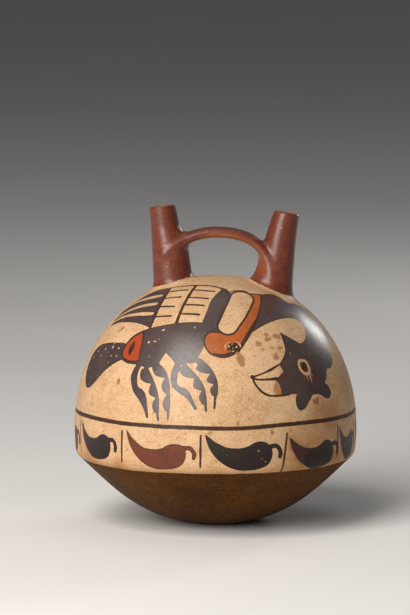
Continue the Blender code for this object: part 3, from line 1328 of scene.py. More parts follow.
@dataclass(frozen=True)
class Bottle:
    """The whole bottle's form, as one closed skin.

    Attributes:
        body: The turned body.
        spouts: The two spouts, left then right.
        strap: The handle between them.
        join: How far the joins between body and spouts are smoothed over.
        strap_joins: How far those between the strap and each spout are.
        join_reach: How far from a join the mesh is evened out, as a share of `join`.
        evenings: How many times it is.
        probe: The step over which the slope of the form is measured.
        stride: The furthest that a vertex is moved at once.
        merge: How close the vertices round the joins may be.
        crown: Within what radius the dome's crowded columns are merged.
        crown_merge: How close the vertices may be there.
        sway: How far the surface wanders from a true turned form.
        sway_span: The length of that wander.
        dent: How far the smaller unevenness of hand burnishing goes.
        dent_span: The length of that.
        seed: The seed of both.
        footing: Where the wander sets in above the foot, and over what height.
        lip_wear: How far the crests of the lips are worn down, at most.
        wear_depth: How far below the crest the wear reaches, in millimetres.
        wear_span: The length of its patches.
        lip_tilt: How much higher the front of each mouth is cut than its back, as a slope.
        lip_span: How far below the crest that slope dies away, in millimetres.
        painted_depth: How far down inside a mouth the slip reaches.
        slip_overlap: How far the slip of each spout runs out over the body.
        paint_gap: How far the painting stops short of that slip, in millimetres.
        paint_reach: How far inside and outside the wall it is still laid, in millimetres.
        refined_within: How near a slip's edge a face is split, at each step, in millimetres.
        fine_to: How far back, along Y, the finer step goes.
        soft: The slips whose edges need no finer step.
    """

    body: TurnedBody = TurnedBody()
    spouts: tuple[Spout, Spout] = (
        Spout("left_spout", ((-0.0234, 0.1255, 0.0104), (-0.0271, 0.1580, 0.0082),
                             (-0.0295, 0.1748, 0.0070)),
              (0.0010, 0.0010, 0.0011, 0.0012, 0.0007, 0.0, 0.0, 0.0, 0.0)),
        Spout("right_spout", ((0.0315, 0.1240, 0.0109), (0.0357, 0.1548, 0.0086),
                              (0.0396, 0.1711, 0.0070)),
              (0.0020, 0.0010, 0.0003, 0.0, 0.0, 0.0, 0.0, 0.0, 0.0)))
    strap: Strap = Strap()
    join: float = 0.0042
    strap_joins: Point = (0.0046, 0.0036)
    join_reach: float = 1.3
    evenings: int = 6
    probe: float = 2e-5
    stride: float = 0.002
    merge: float = 0.00048
    crown: float = 0.027
    crown_merge: float = 0.00068
    sway: float = 0.00022
    sway_span: float = 0.055
    dent: float = 0.00006
    dent_span: float = 0.013
    seed: int = 5
    footing: Point = (0.002, 0.012)
    lip_wear: float = 0.00016
    wear_depth: float = 1.3
    wear_span: float = 0.0040
    lip_tilt: float = 0.060
    lip_span: float = 9.0
    painted_depth: float = 0.007
    slip_overlap: Point = (0.0006, 0.0013)
    paint_gap: float = 0.4
    paint_reach: Point = (1.5, 3.0)
    refined_within: tuple[float, ...] = (1.0, 0.50)
    fine_to: float = 0.02
    soft: tuple[Slip, ...] = (Slip.STAIN, Slip.RUBBED, Slip.RED_BROWN)

    def parts(self, points: Array) -> Array:
        """How far points lie outside the body, either spout and the strap, a row for each."""
        return np.array([self.body.distance(points), *(spout.distance(points)
                         for spout in self.spouts), self.strap.distance(points)])

    def field(self, points: Array) -> Array:
        """How far points lie outside the whole bottle with its joins smoothed."""
        body, *raised = self.parts(points)
        return smooth_minimum(body, self.raised(*raised), self.join)

    def raised(self, left: Array, right: Array, strap: Array) -> Array:
        """The distances from both spouts and the strap as one, with their joins smoothed."""
        bridged = smooth_minimum(strap, left, self.strap_joins[0])
        return smooth_minimum(bridged, right, self.strap_joins[1])

    def project(self, verts: Sequence[Vert]) -> None:
        """Moves vertices along the field's slope onto its surface.

        Args:
            verts: The vertices.
        """
        places = positions(verts)
        for _ in range(2):
            value = self.field(places)
            slope = np.column_stack([(self.field(places + self.probe * way) - value) / self.probe
                                     for way in np.eye(3)])
            steep = np.maximum((slope**2).sum(axis=1), 0.05)
            move = -(value / steep)[:, None] * slope
            length = np.linalg.norm(move, axis=1)[:, None]
            places = places + move * np.minimum(1.0, self.stride / np.maximum(length, 1e-9))
        for vert, place in zip(verts, places):
            vert.co = place

    def settle(self, mesh: Mesh) -> None:
        """Draws the vertices round the joins onto the smoothed form, evening them out as it goes.

        Args:
            mesh: The united forms.
        """
        top = [vert for vert in mesh.verts if vert.co.z > self.body.widest_z + 0.040]
        places = positions(top)
        nearest = np.sort(self.parts(places), axis=0)
        on_crown = (nearest[0] > -1e-4) & (np.hypot(places[:, 0], places[:, 1]) < self.crown)
        on_crown &= places[:, 2] < self.body.crown_z + 1e-4
        joining = nearest[1] < self.join_reach * self.join
        crowded = [vert for vert, chosen in zip(top, on_crown & ~joining) if chosen]
        joins = [vert for vert, chosen in zip(top, joining) if chosen]
        bmesh.ops.remove_doubles(mesh, verts=joins, dist=self.merge)
        bmesh.ops.remove_doubles(mesh, verts=[vert for vert in crowded if vert.is_valid],
                                 dist=self.crown_merge)
        joins = [vert for vert in joins + crowded if vert.is_valid]
        large = dict.fromkeys(face for vert in joins for face in vert.link_faces
                              if len(face.verts) > 4)
        bmesh.ops.triangulate(mesh, faces=list(large))
        for _ in range(self.evenings):
            bmesh.ops.smooth_vert(mesh, verts=joins, factor=0.5, use_axis_x=True,
                                  use_axis_y=True, use_axis_z=True)
            self.project(joins)
        bmesh.ops.dissolve_degenerate(mesh, dist=1e-5, edges=mesh.edges)

    def outside(self) -> Mesh:
        """The outer skin, still capped at both mouths.

        Returns:
            Its mesh.
        """
        solids = [spout.solid() for spout in self.spouts] + [self.strap.solid()]
        mesh = united(self.body.outside(), solids)
        self.settle(mesh)
        return mesh

    def inside(self) -> Mesh:
        """The skin of the cavity and both bores, capped in the same way."""
        return united(self.body.cavity(), [spout.solid(bore=True) for spout in self.spouts])

    def skin(self) -> Mesh:
        """The whole closed skin, outer and inner, joined at the crests of the lips.

        Returns:
            Its mesh.
        """
        outer, inner = self.outside(), self.inside()
        for mesh in (outer, inner):
            for spout in self.spouts:
                uncap(mesh, spout)
        bmesh.ops.reverse_faces(inner, faces=inner.faces)
        self.mark_inner(inner)
        holder = bpy.data.meshes.new("inner_skin")
        inner.to_mesh(holder)
        inner.free()
        outer.from_mesh(holder)
        bpy.data.meshes.remove(holder)
        crests = [vert for vert in outer.verts if vert.is_boundary]
        bmesh.ops.remove_doubles(outer, verts=crests, dist=2e-5)
        for face in outer.faces:
            face.smooth = True
        return outer

    def mark_inner(self, mesh: Mesh) -> None:
        """Gives the inside its own material, apart from the painted insides of the mouths.

        Args:
            mesh: The inside.
        """
        faces = list(mesh.faces)
        places = centres(faces)
        deep = np.ones(len(faces), bool)
        for spout in self.spouts:
            _, run, reach = spout.chart(places)
            deep &= (run < spout.length - self.painted_depth) | (reach > 0.02)
        for face, hidden in zip(faces, deep):
            face.material_index = (Wall.INNER if hidden else Wall.PAINTED).value

    def slips(self, points: Array, painting: Painting) -> dict[Slip, Array]:
        """How far points lie outside each slip, in millimetres.

        Args:
            points: The places, one a row.
            painting: What is painted on the bottle.

        Returns:
            The distances for each slip.
        """
        body, *raised = self.parts(points)
        under, over = (MM * reach for reach in self.paint_reach)
        on_wall = (body > -under) & (body < over)
        on_wall &= points[:, 2] > self.body.shoulder_z - under
        overlap = np.where(points[:, 0] < 0.0, *self.slip_overlap)
        red_brown = np.minimum((self.raised(*raised) - overlap) / MM, FAR)
        found = painting.distances(points, on_wall)
        for slip, reach in found.items():
            found[slip] = np.maximum(reach, np.minimum(self.paint_gap - red_brown, FAR))
        found[Slip.RED_BROWN] = red_brown
        return found

    def refine(self, mesh: Mesh, painting: Painting) -> None:
        """Splits the faces that the edge of a slip crosses, so that the edge stays sharp.

        Args:
            mesh: The skin.
            painting: What is painted on it.
        """
        for number, reach in enumerate(self.refined_within):
            points = positions(list(mesh.verts))
            slips = self.slips(points, painting)
            if number:
                slips = {slip: slips[slip] for slip in slips if slip not in self.soft}
            near = np.min([np.abs(values) for values in slips.values()], axis=0)
            if number:
                near[points[:, 1] > self.fine_to] = FAR
            mesh.verts.index_update()
            chosen = dict.fromkeys(edge for face in mesh.faces for edge in face.edges
                                   if min(near[vert.index] for vert in face.verts) < reach)
            bmesh.ops.subdivide_edges(mesh, edges=list(chosen), cuts=1, use_grid_fill=True,
                                      use_single_edge=True)
        large = [face for face in mesh.faces if len(face.verts) > 4]
        bmesh.ops.triangulate(mesh, faces=large)

    def paint(self, mesh: Mesh, painting: Painting) -> None:
        """Writes how far each vertex lies from the slips' edges, the lips and the joins.

        Args:
            mesh: The skin.
            painting: What is painted on it.
        """
        points = positions(list(mesh.verts))
        layers = {slip.value: reach for slip, reach in self.slips(points, painting).items()}
        layers["lip_depth"] = np.minimum(self.lip_depth(points), self.lip_span)
        layers["crevice"] = np.minimum(np.sort(self.parts(points), axis=0)[1] / MM, FAR)
        for name in layers:
            mesh.verts.layers.float.new(name)
        for name, values in layers.items():
            layer = mesh.verts.layers.float[name]
            for vert, value in zip(mesh.verts, values):
                vert[layer] = value

    def lip_depth(self, points: Array) -> Array:
        """How far points lie below the crest of a lip, in millimetres.

        Args:
            points: The places, one a row.

        Returns:
            Their depths.
        """
        depth = np.full(len(points), self.lip_span)
        for spout in self.spouts:
            _, run, reach = spout.chart(points)
            below = np.where(reach < 0.012, (spout.length - run) / MM, self.lip_span)
            depth = np.minimum(depth, np.maximum(below, 0.0))
        return depth

    def handle(self, mesh: Mesh) -> None:
        """Takes the form off true, as a hand-built pot is, and wears the lips down.

        Args:
            mesh: The painted skin.
        """
        depth = mesh.verts.layers.float["lip_depth"]
        start, height = self.footing
        noise.seed_set(self.seed)
        for vert in mesh.verts:
            place = vert.co
            standing = min(max((place.z - start) / height, 0.0), 1.0)
            wander = (self.sway * noise.noise_vector(place / self.sway_span)
                      + self.dent * noise.noise_vector(place / self.dent_span))
            worn = max(1.0 - vert[depth] / self.wear_depth, 0.0) * self.lip_wear
            worn *= max(noise.noise(place / self.wear_span) + 0.25, 0.0)
            raised = -self.lip_tilt * place.y * (1.0 - vert[depth] / self.lip_span)
            vert.co = place + standing * wander + Vector((0.0, 0.0, raised - worn))

    def dress(self, piece: Object) -> None:
        """Gives the piece its materials, in the order of its walls.

        Args:
            piece: The bottle's piece.
        """
        specks = speck_group()
        effects = Effects(mottling_group(), crazing_group(), edge_group(), specks,
                          relief_group(specks))
        for finish in (PaintedClay(), RawClay()):
            piece.data.materials.append(finish.material(effects))

    def built(self, painting: Painting, name: str) -> Object:
        """The finished, painted mesh of the bottle.

        Args:
            painting: What is painted on it.
            name: The piece's name.

        Returns:
            The linked object, without its materials.
        """
        mesh = self.skin()
        self.refine(mesh, painting)
        self.paint(mesh, painting)
        self.handle(mesh)
        return linked(mesh, name)


# ---- finishes


class Tree:
    """A node tree that is being wired up, with a short call for each node that is used."""

    def __init__(self, tree: NodeTree) -> None:
        """Keeps the tree."""
        self.tree = tree

    def add(self, kind: str, inputs: dict[int | str, object] | None = None,
            **settings: object) -> Node:
        """A new node.

        Args:
            kind: Its type.
            inputs: A value, or a socket to link to, for each input that gets one.
            settings: Those of its settings that aren't left as they come.

        Returns:
            The node.
        """
        node = self.tree.nodes.new(kind)
        for name, value in settings.items():
            setattr(node, name, value)
        for name, value in (inputs or {}).items():
            self.put(node.inputs[name], value)
        return node

    def put(self, socket: Socket, value: object) -> None:
        """Feeds a socket.

        Args:
            socket: The socket.
            value: The socket to link it to, or its plain value.
        """
        if isinstance(value, Socket):
            self.tree.links.new(value, socket)
        else:
            opaque = socket.type == "RGBA" and len(value) == 3
            socket.default_value = (*value, 1.0) if opaque else value

    def maths(self, operation: str, *values: object, clamp: bool = False) -> Socket:
        """The result of a maths node."""
        return self.add("ShaderNodeMath", dict(enumerate(values)), operation=operation,
                        use_clamp=clamp).outputs[0]

    def vector(self, operation: str, *values: object) -> bpy.types.NodeOutputs:
        """The outputs of a vector maths node: a vector, then a number."""
        return self.add("ShaderNodeVectorMath", dict(enumerate(values)),
                        operation=operation).outputs

    def mix(self, factor: object, first: object, second: object) -> Socket:
        """Two colours mixed."""
        return self.add("ShaderNodeMix", {0: factor, 6: first, 7: second},
                        data_type="RGBA").outputs[2]

    def blend(self, factor: object, first: object, second: object) -> Socket:
        """Two numbers mixed."""
        return self.add("ShaderNodeMix", {0: factor, 2: first, 3: second},
                        data_type="FLOAT").outputs[0]

    def remap(self, value: object, low: object, high: object, to_low: object = 0.0,
              to_high: object = 1.0) -> Socket:
        """A value eased from one range to another."""
        ranges = dict(enumerate((value, low, high, to_low, to_high)))
        return self.add("ShaderNodeMapRange", ranges, interpolation_type="SMOOTHSTEP").outputs[0]

    def noise(self, place: object, size: object, detail: float = 2.0, roughness: float = 0.5,
              stretch: Place | None = None) -> Socket:
        """Noise about one half.

        Args:
            place: Where it is read, in millimetres.
            size: The size of its features, in millimetres.
            detail: How many finer layers it has.
            roughness: How strong those are.
            stretch: How much finer it is along each axis.

        Returns:
            The noise.
        """
        if stretch is not None:
            place = self.vector("MULTIPLY", place, stretch)[0]
        scale = self.maths("DIVIDE", 1.0, size) if isinstance(size, Socket) else 1.0 / size
        return self.add("ShaderNodeTexNoise", {"Vector": place, "Scale": scale, "Detail": detail,
                                               "Roughness": roughness}).outputs[0]

    def wander(self, place: object, size: object, **settings: object) -> Socket:
        """Noise about nought."""
        return self.maths("SUBTRACT", self.noise(place, size, **settings), 0.5)

    def attribute(self, name: str) -> Socket:
        """A number kept on the mesh."""
        return self.add("ShaderNodeAttribute", attribute_name=name).outputs["Fac"]

    def group(self, group: NodeTree, **values: object) -> Socket:
        """What a node group puts out for some values or sockets put in."""
        return self.add("ShaderNodeGroup", values, node_tree=group).outputs[0]


class Effect(Tree):
    """A shader node group that is being wired up, for the finishes to place in their trees."""

    def __init__(self, name: str, output: tuple[str, str], **inputs: str) -> None:
        """Makes the empty group.

        Args:
            name: The group's name.
            output: The name of what it puts out, and its kind: Float, Color or Vector.
            inputs: The kind of each named input.
        """
        super().__init__(bpy.data.node_groups.new(name, "ShaderNodeTree"))
        sockets = [("INPUT", *socket) for socket in inputs.items()] + [("OUTPUT", *output)]
        for way, socket, kind in sockets:
            self.tree.interface.new_socket(socket, in_out=way, socket_type=f"NodeSocket{kind}")
        self.given = self.add("NodeGroupInput").outputs

    def finished(self, value: Socket) -> NodeTree:
        """The group, now that it has a value to put out."""
        self.add("NodeGroupOutput", {0: value})
        return self.tree


def mottling_group() -> NodeTree:
    """A colour that wanders towards another in clouds, blotches and fine grain.

    Returns:
        The group.
    """
    tree = Effect("mottling", ("Colour", "Color"), Place="Vector", Colour="Color",
                  Other="Color", Size="Float", Amount="Float")
    place, size = tree.given["Place"], tree.given["Size"]
    clouds = tree.noise(place, tree.maths("MULTIPLY", size, 3.6), detail=3.0, roughness=0.55)
    blotches = tree.noise(place, size, detail=4.0, roughness=0.62)
    grain = tree.wander(place, tree.maths("MULTIPLY", size, 0.15), detail=3.0, roughness=0.7)
    wiped = tree.noise(place, tree.maths("MULTIPLY", size, 0.9), detail=3.0, roughness=0.6,
                       stretch=(0.35, 0.35, 5.0))
    joined = tree.maths("MULTIPLY_ADD", clouds, 0.42, tree.maths("MULTIPLY", blotches, 0.34))
    joined = tree.maths("MULTIPLY_ADD", wiped, 0.24, joined)
    joined = tree.maths("MULTIPLY_ADD", grain, 1.0, joined)
    share = tree.maths("MULTIPLY", tree.remap(joined, 0.34, 0.68), tree.given["Amount"])
    return tree.finished(tree.mix(share, tree.given["Colour"], tree.given["Other"]))


def crazing_group() -> NodeTree:
    """A net of hair cracks that shows in patches.

    Returns:
        The group.
    """
    tree = Effect("crazing", ("Mask", "Float"), Place="Vector", Size="Float")
    place, size = tree.given["Place"], tree.given["Size"]
    bent = tree.vector("MULTIPLY_ADD", tree.noise(place, size), (1.6, 1.6, 1.6), place)[0]
    cells = tree.add("ShaderNodeTexVoronoi", {"Vector": bent}, feature="DISTANCE_TO_EDGE")
    tree.put(cells.inputs["Scale"], tree.maths("DIVIDE", 1.0, size))
    lines = tree.remap(cells.outputs["Distance"], 0.0, 0.075, 1.0, 0.0)
    patches = tree.remap(tree.noise(place, tree.maths("MULTIPLY", size, 5.0)), 0.42, 0.66)
    return tree.finished(tree.maths("MULTIPLY", lines, patches))


def edge_group() -> NodeTree:
    """How much a slip covers, from the distance to its edge, with the brush's unevenness.

    Returns:
        The group.
    """
    tree = Effect("slip_edge", ("Coverage", "Float"), Place="Vector", Distance="Float",
                  Wobble="Float", Softness="Float")
    place, softness = tree.given["Place"], tree.given["Softness"]
    broad, fine = tree.wander(place, 3.2), tree.wander(place, 0.55, roughness=0.6)
    shift = tree.maths("ADD", tree.maths("MULTIPLY", broad, 2.0),
                       tree.maths("MULTIPLY", fine, 1.1))
    reach = tree.maths("MULTIPLY_ADD", shift, tree.given["Wobble"], tree.given["Distance"])
    within = tree.maths("MULTIPLY", softness, -1.0)
    return tree.finished(tree.remap(reach, within, softness, 1.0, 0.0))


def speck_group() -> NodeTree:
    """Scattered small spots of uneven size.

    Returns:
        The group.
    """
    tree = Effect("specks", ("Mask", "Float"), Place="Vector", Size="Float", Share="Float")
    place, size = tree.given["Place"], tree.given["Size"]
    scale = tree.maths("DIVIDE", 1.0, size)
    cells = tree.add("ShaderNodeTexVoronoi", {"Vector": place, "Scale": scale}, feature="F1")
    split = tree.add("ShaderNodeSeparateColor", {0: cells.outputs["Color"]})
    chosen = tree.maths("LESS_THAN", split.outputs[0], tree.given["Share"])
    radius = tree.maths("MULTIPLY_ADD", split.outputs[1], 0.24, 0.06)
    ragged = tree.wander(place, tree.maths("MULTIPLY", size, 0.25))
    reach = tree.maths("MULTIPLY_ADD", ragged, 0.22, cells.outputs["Distance"])
    spot = tree.remap(tree.maths("SUBTRACT", reach, radius), -0.05, 0.05, 1.0, 0.0)
    return tree.finished(tree.maths("MULTIPLY", spot, chosen))


def relief_group(specks: NodeTree) -> NodeTree:
    """The height of a rubbed clay surface in millimetres: grain, strokes, rubbing and pits.

    Args:
        specks: The group that scatters the pits.

    Returns:
        The group.
    """
    tree = Effect("clay_relief", ("Height", "Float"), Place="Vector", Grain="Float",
                  Strokes="Float", Rubbing="Float", Pits="Float")
    place = tree.given["Place"]
    grain = tree.wander(place, 0.7, detail=3.0, roughness=0.6)
    strokes = tree.wander(place, 5.0, detail=3.0, stretch=(1.0, 1.0, 4.5))
    rubbing = tree.wander(place, 0.75, stretch=(1.0, 1.0, 8.0))
    pits = tree.group(specks, Place=place, Size=2.6, Share=0.28)
    height = tree.maths("MULTIPLY", grain, tree.given["Grain"])
    height = tree.maths("MULTIPLY_ADD", strokes, tree.given["Strokes"], height)
    height = tree.maths("MULTIPLY_ADD", rubbing, tree.given["Rubbing"], height)
    return tree.finished(tree.maths("SUBTRACT", height,
                                    tree.maths("MULTIPLY", pits, tree.given["Pits"])))


@dataclass(frozen=True)
class Effects:
    """The shader node groups that the clays place in their materials, each with its own values.

    Attributes:
        mottling: The colour that wanders.
        crazing: The hair cracks.
        edge: The painted edge.
        specks: The scattered spots.
        relief: The rubbed surface.
    """

    mottling: NodeTree
    crazing: NodeTree
    edge: NodeTree
    specks: NodeTree
    relief: NodeTree


class MaterialTree(Tree):
    """The tree of a new material with its one shader."""

    def __init__(self, name: str) -> None:
        """Makes the material, and finds the place on the piece in millimetres.

        Args:
            name: The material's name.
        """
        self.material = bpy.data.materials.new(name)
        self.material.use_nodes = True
        super().__init__(self.material.node_tree)
        self.shader = self.tree.nodes["Principled BSDF"]
        place = self.add("ShaderNodeTexCoord").outputs["Object"]
        self.place = self.add("ShaderNodeVectorMath", {0: place, "Scale": 1.0 / MM},
                              operation="SCALE").outputs[0]

    def dressed(self, sockets: dict[str, object]) -> bpy.types.Material:
        """The material, now that its shader has what it needs.

        Args:
            sockets: A value, or a socket to link to, for each named input.

        Returns:
            The material.
        """
        for name, value in sockets.items():
            self.put(self.shader.inputs[name], value)
        return self.material


class ClayTree(MaterialTree):
    """The tree of a clay, with a short call for each of the shared effects."""

    def __init__(self, name: str, effects: Effects) -> None:
        """Makes the material and keeps the effects."""
        super().__init__(name)
        self.effects = effects

    @cached_property
    def axes(self) -> bpy.types.NodeOutputs:
        """The place along each axis, in millimetres."""
        return self.add("ShaderNodeSeparateXYZ", {0: self.place}).outputs

    def coverage(self, distance: object, wobble: float, softness: float) -> Socket:
        """How much a slip covers at a distance from its edge."""
        return self.group(self.effects.edge, Place=self.place, Distance=distance,
                          Wobble=wobble, Softness=softness)

    def clouded(self, first: Colour, second: Colour, size: float, amount: float) -> Socket:
        """A colour that wanders to another."""
        return self.group(self.effects.mottling, Place=self.place, Colour=first, Other=second,
                          Size=size, Amount=amount)

    def spots(self, size: float, share: float) -> Socket:
        """Scattered specks."""
        return self.group(self.effects.specks, Place=self.place, Size=size, Share=share)

    def bumped(self, depths: dict[str, object], raised: Socket | None = None) -> Socket:
        """The normal of the rubbed surface.

        Args:
            depths: The depths of its grain, strokes, rubbing and pits in millimetres.
            raised: What else stands up from it, in millimetres.

        Returns:
            The normal.
        """
        height = self.group(self.effects.relief, Place=self.place, **depths)
        if raised is not None:
            height = self.maths("ADD", height, raised)
        return self.add("ShaderNodeBump", {"Distance": MM, "Height": height}).outputs[0]


@dataclass(frozen=True)
class Speckle:
    """One kind of specks in the cream slip.

    Attributes:
        size: How far apart they may lie, in millimetres.
        share: The share of the places for one that hold one.
        strength: How much they hide.
        colour: Their colour.
    """

    size: float
    share: float
    strength: float
    colour: Colour


@dataclass(frozen=True)
class Coat:
    """One slip's look.

    Attributes:
        slip: The slip, or None for the clay of the bowl.
        colour: Its colour where the coat lies full.
        other: The colour it wanders to where it is thin or worn.
        amount: How much of that there is.
        size: The size of the blotches, in millimetres.
        roughness: How rough it is.
        wobble: How far its painted edge wanders, in millimetres.
        softness: How soft that edge is.
        thickness: How far it stands up, in millimetres.
        edge: How much darker its own edge is.
        most: How much of what lies under it it hides.
        sheen: How strongly its burnished skin mirrors.
        painted_frieze_shade: How much darker it is painted low in the frieze, as painted shade.
    """

    slip: Slip | None
    colour: Colour
    other: Colour
    amount: float = 0.6
    size: float = 6.0
    roughness: float = 0.34
    wobble: float = 0.16
    softness: float = 0.10
    thickness: float = 0.02
    edge: float = 0.0
    most: float = 1.0
    sheen: float = 0.3
    painted_frieze_shade: float = 0.0

    def clouded(self, tree: ClayTree) -> Socket:
        """Its uneven colour."""
        return tree.clouded(self.colour, self.other, self.size, self.amount)

    def coverage(self, tree: ClayTree, distance: Socket) -> Socket:
        """How much it covers at a distance from its edge."""
        return tree.coverage(distance, self.wobble, self.softness)


@dataclass
class Skin:
    """What a surface looks like so far, while one thing after another is laid on it.

    Attributes:
        tree: The tree that it is wired up in.
        colour: Its colour.
        roughness: How rough it is.
        sheen: How strongly its burnished skin mirrors.
        raised: How far it stands up, in millimetres.
    """

    tree: Tree
    colour: object
    roughness: object
    sheen: object
    raised: object = 0.0

    def tint(self, share: object, colour: object) -> None:
        """Mixes a share of a colour in."""
        self.colour = self.tree.mix(share, self.colour, colour)

    def smooth(self, share: object, roughness: float, sheen: float) -> None:
        """Mixes in a share of another roughness and sheen."""
        self.roughness = self.tree.blend(share, self.roughness, roughness)
        self.sheen = self.tree.blend(share, self.sheen, sheen)

    def lay(self, covered: Socket, colour: Socket, coat: Coat) -> None:
        """Lays a coat on.

        Args:
            covered: How much it covers.
            colour: Its colour.
            coat: Its other looks.
        """
        self.tint(covered, colour)
        self.smooth(covered, coat.roughness, coat.sheen)
        self.raised = self.tree.maths("MULTIPLY_ADD", covered, coat.thickness, self.raised)


@dataclass(frozen=True)
class PaintedClay:
    """The outside: cream slip over ochre clay, with the coloured slips laid over it.

    Attributes:
        cream: The cream slip's colour.
        ochre: What it wanders to.
        cream_roughness: How rough it is.
        cream_sheen: How strongly its burnished skin mirrors.
        crack: The colour of its hair cracks.
        cracked: How much those show.
        speckles: The specks in it.
        stain_and_shade: The ochre of its stains, and of the painted shade low on its right front.
        stain_and_shade_patches: Where those lie, as a middle and a reach in millimetres.
        stain_and_shade_strength: How strong they are.
        bowl: The bare rubbed bowl under it.
        border_z: The height where the cream slip ends, in millimetres.
        band_z: The height of the ruled band line.
        band_half: Half that line's width.
        lip: The worn clay of the lips.
        lip_other: What it wanders to.
        crease_colour: The dark colour that the creases where parts meet are drawn towards.
        crease_darkening: How far they are darkened.
        warm: The colour of the painted bounce light on the handle's slip under the strap.
        wine: What it wanders to in long patches.
        painted_frieze_shade_colour: The dark colour mixed into slips low in the frieze, as painted
            shade.
        gloss: How strongly it mirrors, 0.5 being glass.
        rubbing: How deep the marks of rubbing are on the handle, in millimetres.
        burnish: How rough the skin is that burnishing has given the slips.
        arch: The middle of the hollow under the strap, as x and z in millimetres.
        arch_radii: The radii of that hollow.
        coats: The coloured slips, from the lowest up.
        chipped: The coats that have lost specks of slip.
    """

    cream: Colour = (0.625, 0.412, 0.240)
    ochre: Colour = (0.43, 0.230, 0.092)
    cream_roughness: float = 0.52
    cream_sheen: float = 0.28
    crack: Colour = (0.26, 0.125, 0.045)
    cracked: float = 0.6
    speckles: tuple[Speckle, ...] = (Speckle(3.4, 0.30, 0.55, (0.34, 0.17, 0.065)),
                                     Speckle(1.5, 0.16, 0.60, (0.20, 0.10, 0.045)))
    stain_and_shade: Colour = (0.34, 0.125, 0.026)
    stain_and_shade_patches: tuple[tuple[float, float, float, float], ...] = (
        (47.0, -60.0, 45.0, 27.0), (60.0, -46.0, 65.0, 20.0), (-68.0, -36.0, 44.0, 16.0),
        (66.0, -40.0, 42.0, 14.0), (-52.0, -55.0, 38.0, 11.0), (70.0, 22.0, 58.0, 20.0),
        (-30.0, 69.0, 47.0, 18.0))
    stain_and_shade_strength: float = 0.62
    bowl: Coat = Coat(None, (0.047, 0.014, 0.0), (0.112, 0.039, 0.001), 0.8, 11.0, 0.62, 0.4,
                      0.25, -0.05, sheen=0.0)
    border_z: float = 37.6
    band_z: float = 62.9
    band_half: float = 1.12
    lip: Colour = (0.42, 0.19, 0.11)
    lip_other: Colour = (0.30, 0.11, 0.06)
    crease_colour: Colour = (0.06, 0.028, 0.015)
    crease_darkening: float = 0.24
    warm: Colour = (0.30, 0.080, 0.014)
    wine: Colour = (0.115, 0.022, 0.016)
    painted_frieze_shade_colour: Colour = (0.014, 0.008, 0.006)
    gloss: float = 0.12
    rubbing: float = 0.085
    burnish: float = 0.32
    arch: Point = (3.0, 137.0)
    arch_radii: Point = (24.0, 21.0)
    coats: tuple[Coat, ...] = (
        Coat(Slip.RED_BROWN, (0.175, 0.040, 0.012), (0.085, 0.018, 0.008), 0.9, 8.0, 0.50, 0.35,
             sheen=0.85),
        Coat(Slip.ORANGE, (0.42, 0.106, 0.021), (0.26, 0.066, 0.018), 0.9, 3.5, 0.50),
        Coat(Slip.RED, (0.37, 0.048, 0.016), (0.27, 0.050, 0.017), 0.9, 3.5, 0.50),
        Coat(Slip.RUSSET, (0.160, 0.042, 0.023), (0.095, 0.032, 0.022), 0.9, 5.0, 0.50, edge=0.5),
        Coat(Slip.BLACK, (0.046, 0.030, 0.028), (0.083, 0.050, 0.045), 0.9, 6.0, 0.46, edge=0.5,
             sheen=0.95, painted_frieze_shade=0.8),
        Coat(Slip.RUBBED, (0.105, 0.031, 0.019), (0.065, 0.024, 0.017), 0.8, 3.0, 0.46, 1.8, 2.8,
             0.0, most=0.72, sheen=0.5, painted_frieze_shade=0.25),
        Coat(Slip.LINE, (0.034, 0.016, 0.010), (0.075, 0.034, 0.018), 0.9, 2.6, 0.50, 0.24),
        Coat(Slip.LOSS, (0.62, 0.42, 0.28), (0.48, 0.28, 0.16), 0.7, 2.0, 0.75, 0.35, 0.16, -0.05,
             sheen=0.0),
        Coat(Slip.STAIN, (0.25, 0.092, 0.014), (0.16, 0.058, 0.009), 0.8, 1.6, 0.60, 1.8, 0.8, 0.0,
             most=0.70, sheen=0.1),
    )
    chipped: tuple[Slip, ...] = (Slip.RED_BROWN, Slip.ORANGE, Slip.RED, Slip.RUSSET, Slip.BLACK)

    def material(self, effects: Effects) -> bpy.types.Material:
        """The finished material.

        Args:
            effects: The shared node groups.

        Returns:
            The material.
        """
        tree = ClayTree("painted_clay", effects)
        height, slow = tree.axes["Z"], tree.wander(tree.place, 42.0, detail=1.0)
        skin = Skin(tree, self.ground(tree, height), self.cream_roughness, self.cream_sheen)
        below = tree.maths("SUBTRACT", tree.maths("MULTIPLY_ADD", slow, 1.6, height),
                           self.border_z)
        skin.lay(self.bowl.coverage(tree, below), self.bowl.clouded(tree), self.bowl)
        middle = tree.maths("SUBTRACT", tree.maths("MULTIPLY_ADD", slow, 2.2, height),
                            self.band_z)
        band = tree.maths("SUBTRACT", tree.maths("ABSOLUTE", middle), self.band_half)
        for coat in self.coats:
            self.lay_coat(tree, skin, coat, band)
        self.wear_lips(tree, skin)
        # Darker in the creases where body, spouts and strap meet.
        skin.tint(tree.remap(tree.attribute("crevice"), 0.0, 2.2, self.crease_darkening, 0.0), self.crease_colour)
        uneven = tree.wander(tree.place, 2.4, detail=4.0, roughness=0.65)
        sheen = tree.maths("MULTIPLY", skin.sheen, tree.maths("MULTIPLY_ADD", uneven, -1.1, 1.0),
                           clamp=True)
        polish = tree.remap(height, self.border_z + 4.0, self.border_z + 32.0, 0.12, 1.0)
        handle = self.coats[0].coverage(tree, tree.attribute(Slip.RED_BROWN.value))
        depths = {"Grain": 0.020, "Strokes": 0.030, "Pits": 0.05,
                  "Rubbing": tree.maths("MULTIPLY", handle, self.rubbing)}
        return tree.dressed({
            "Base Color": skin.colour,
            "Roughness": tree.maths("MULTIPLY_ADD", uneven, 0.26, skin.roughness),
            "Specular IOR Level": self.gloss,
            "Coat Weight": tree.maths("MULTIPLY", sheen, polish),
            "Coat Roughness": self.burnish,
            "Normal": tree.bumped(depths, skin.raised)})

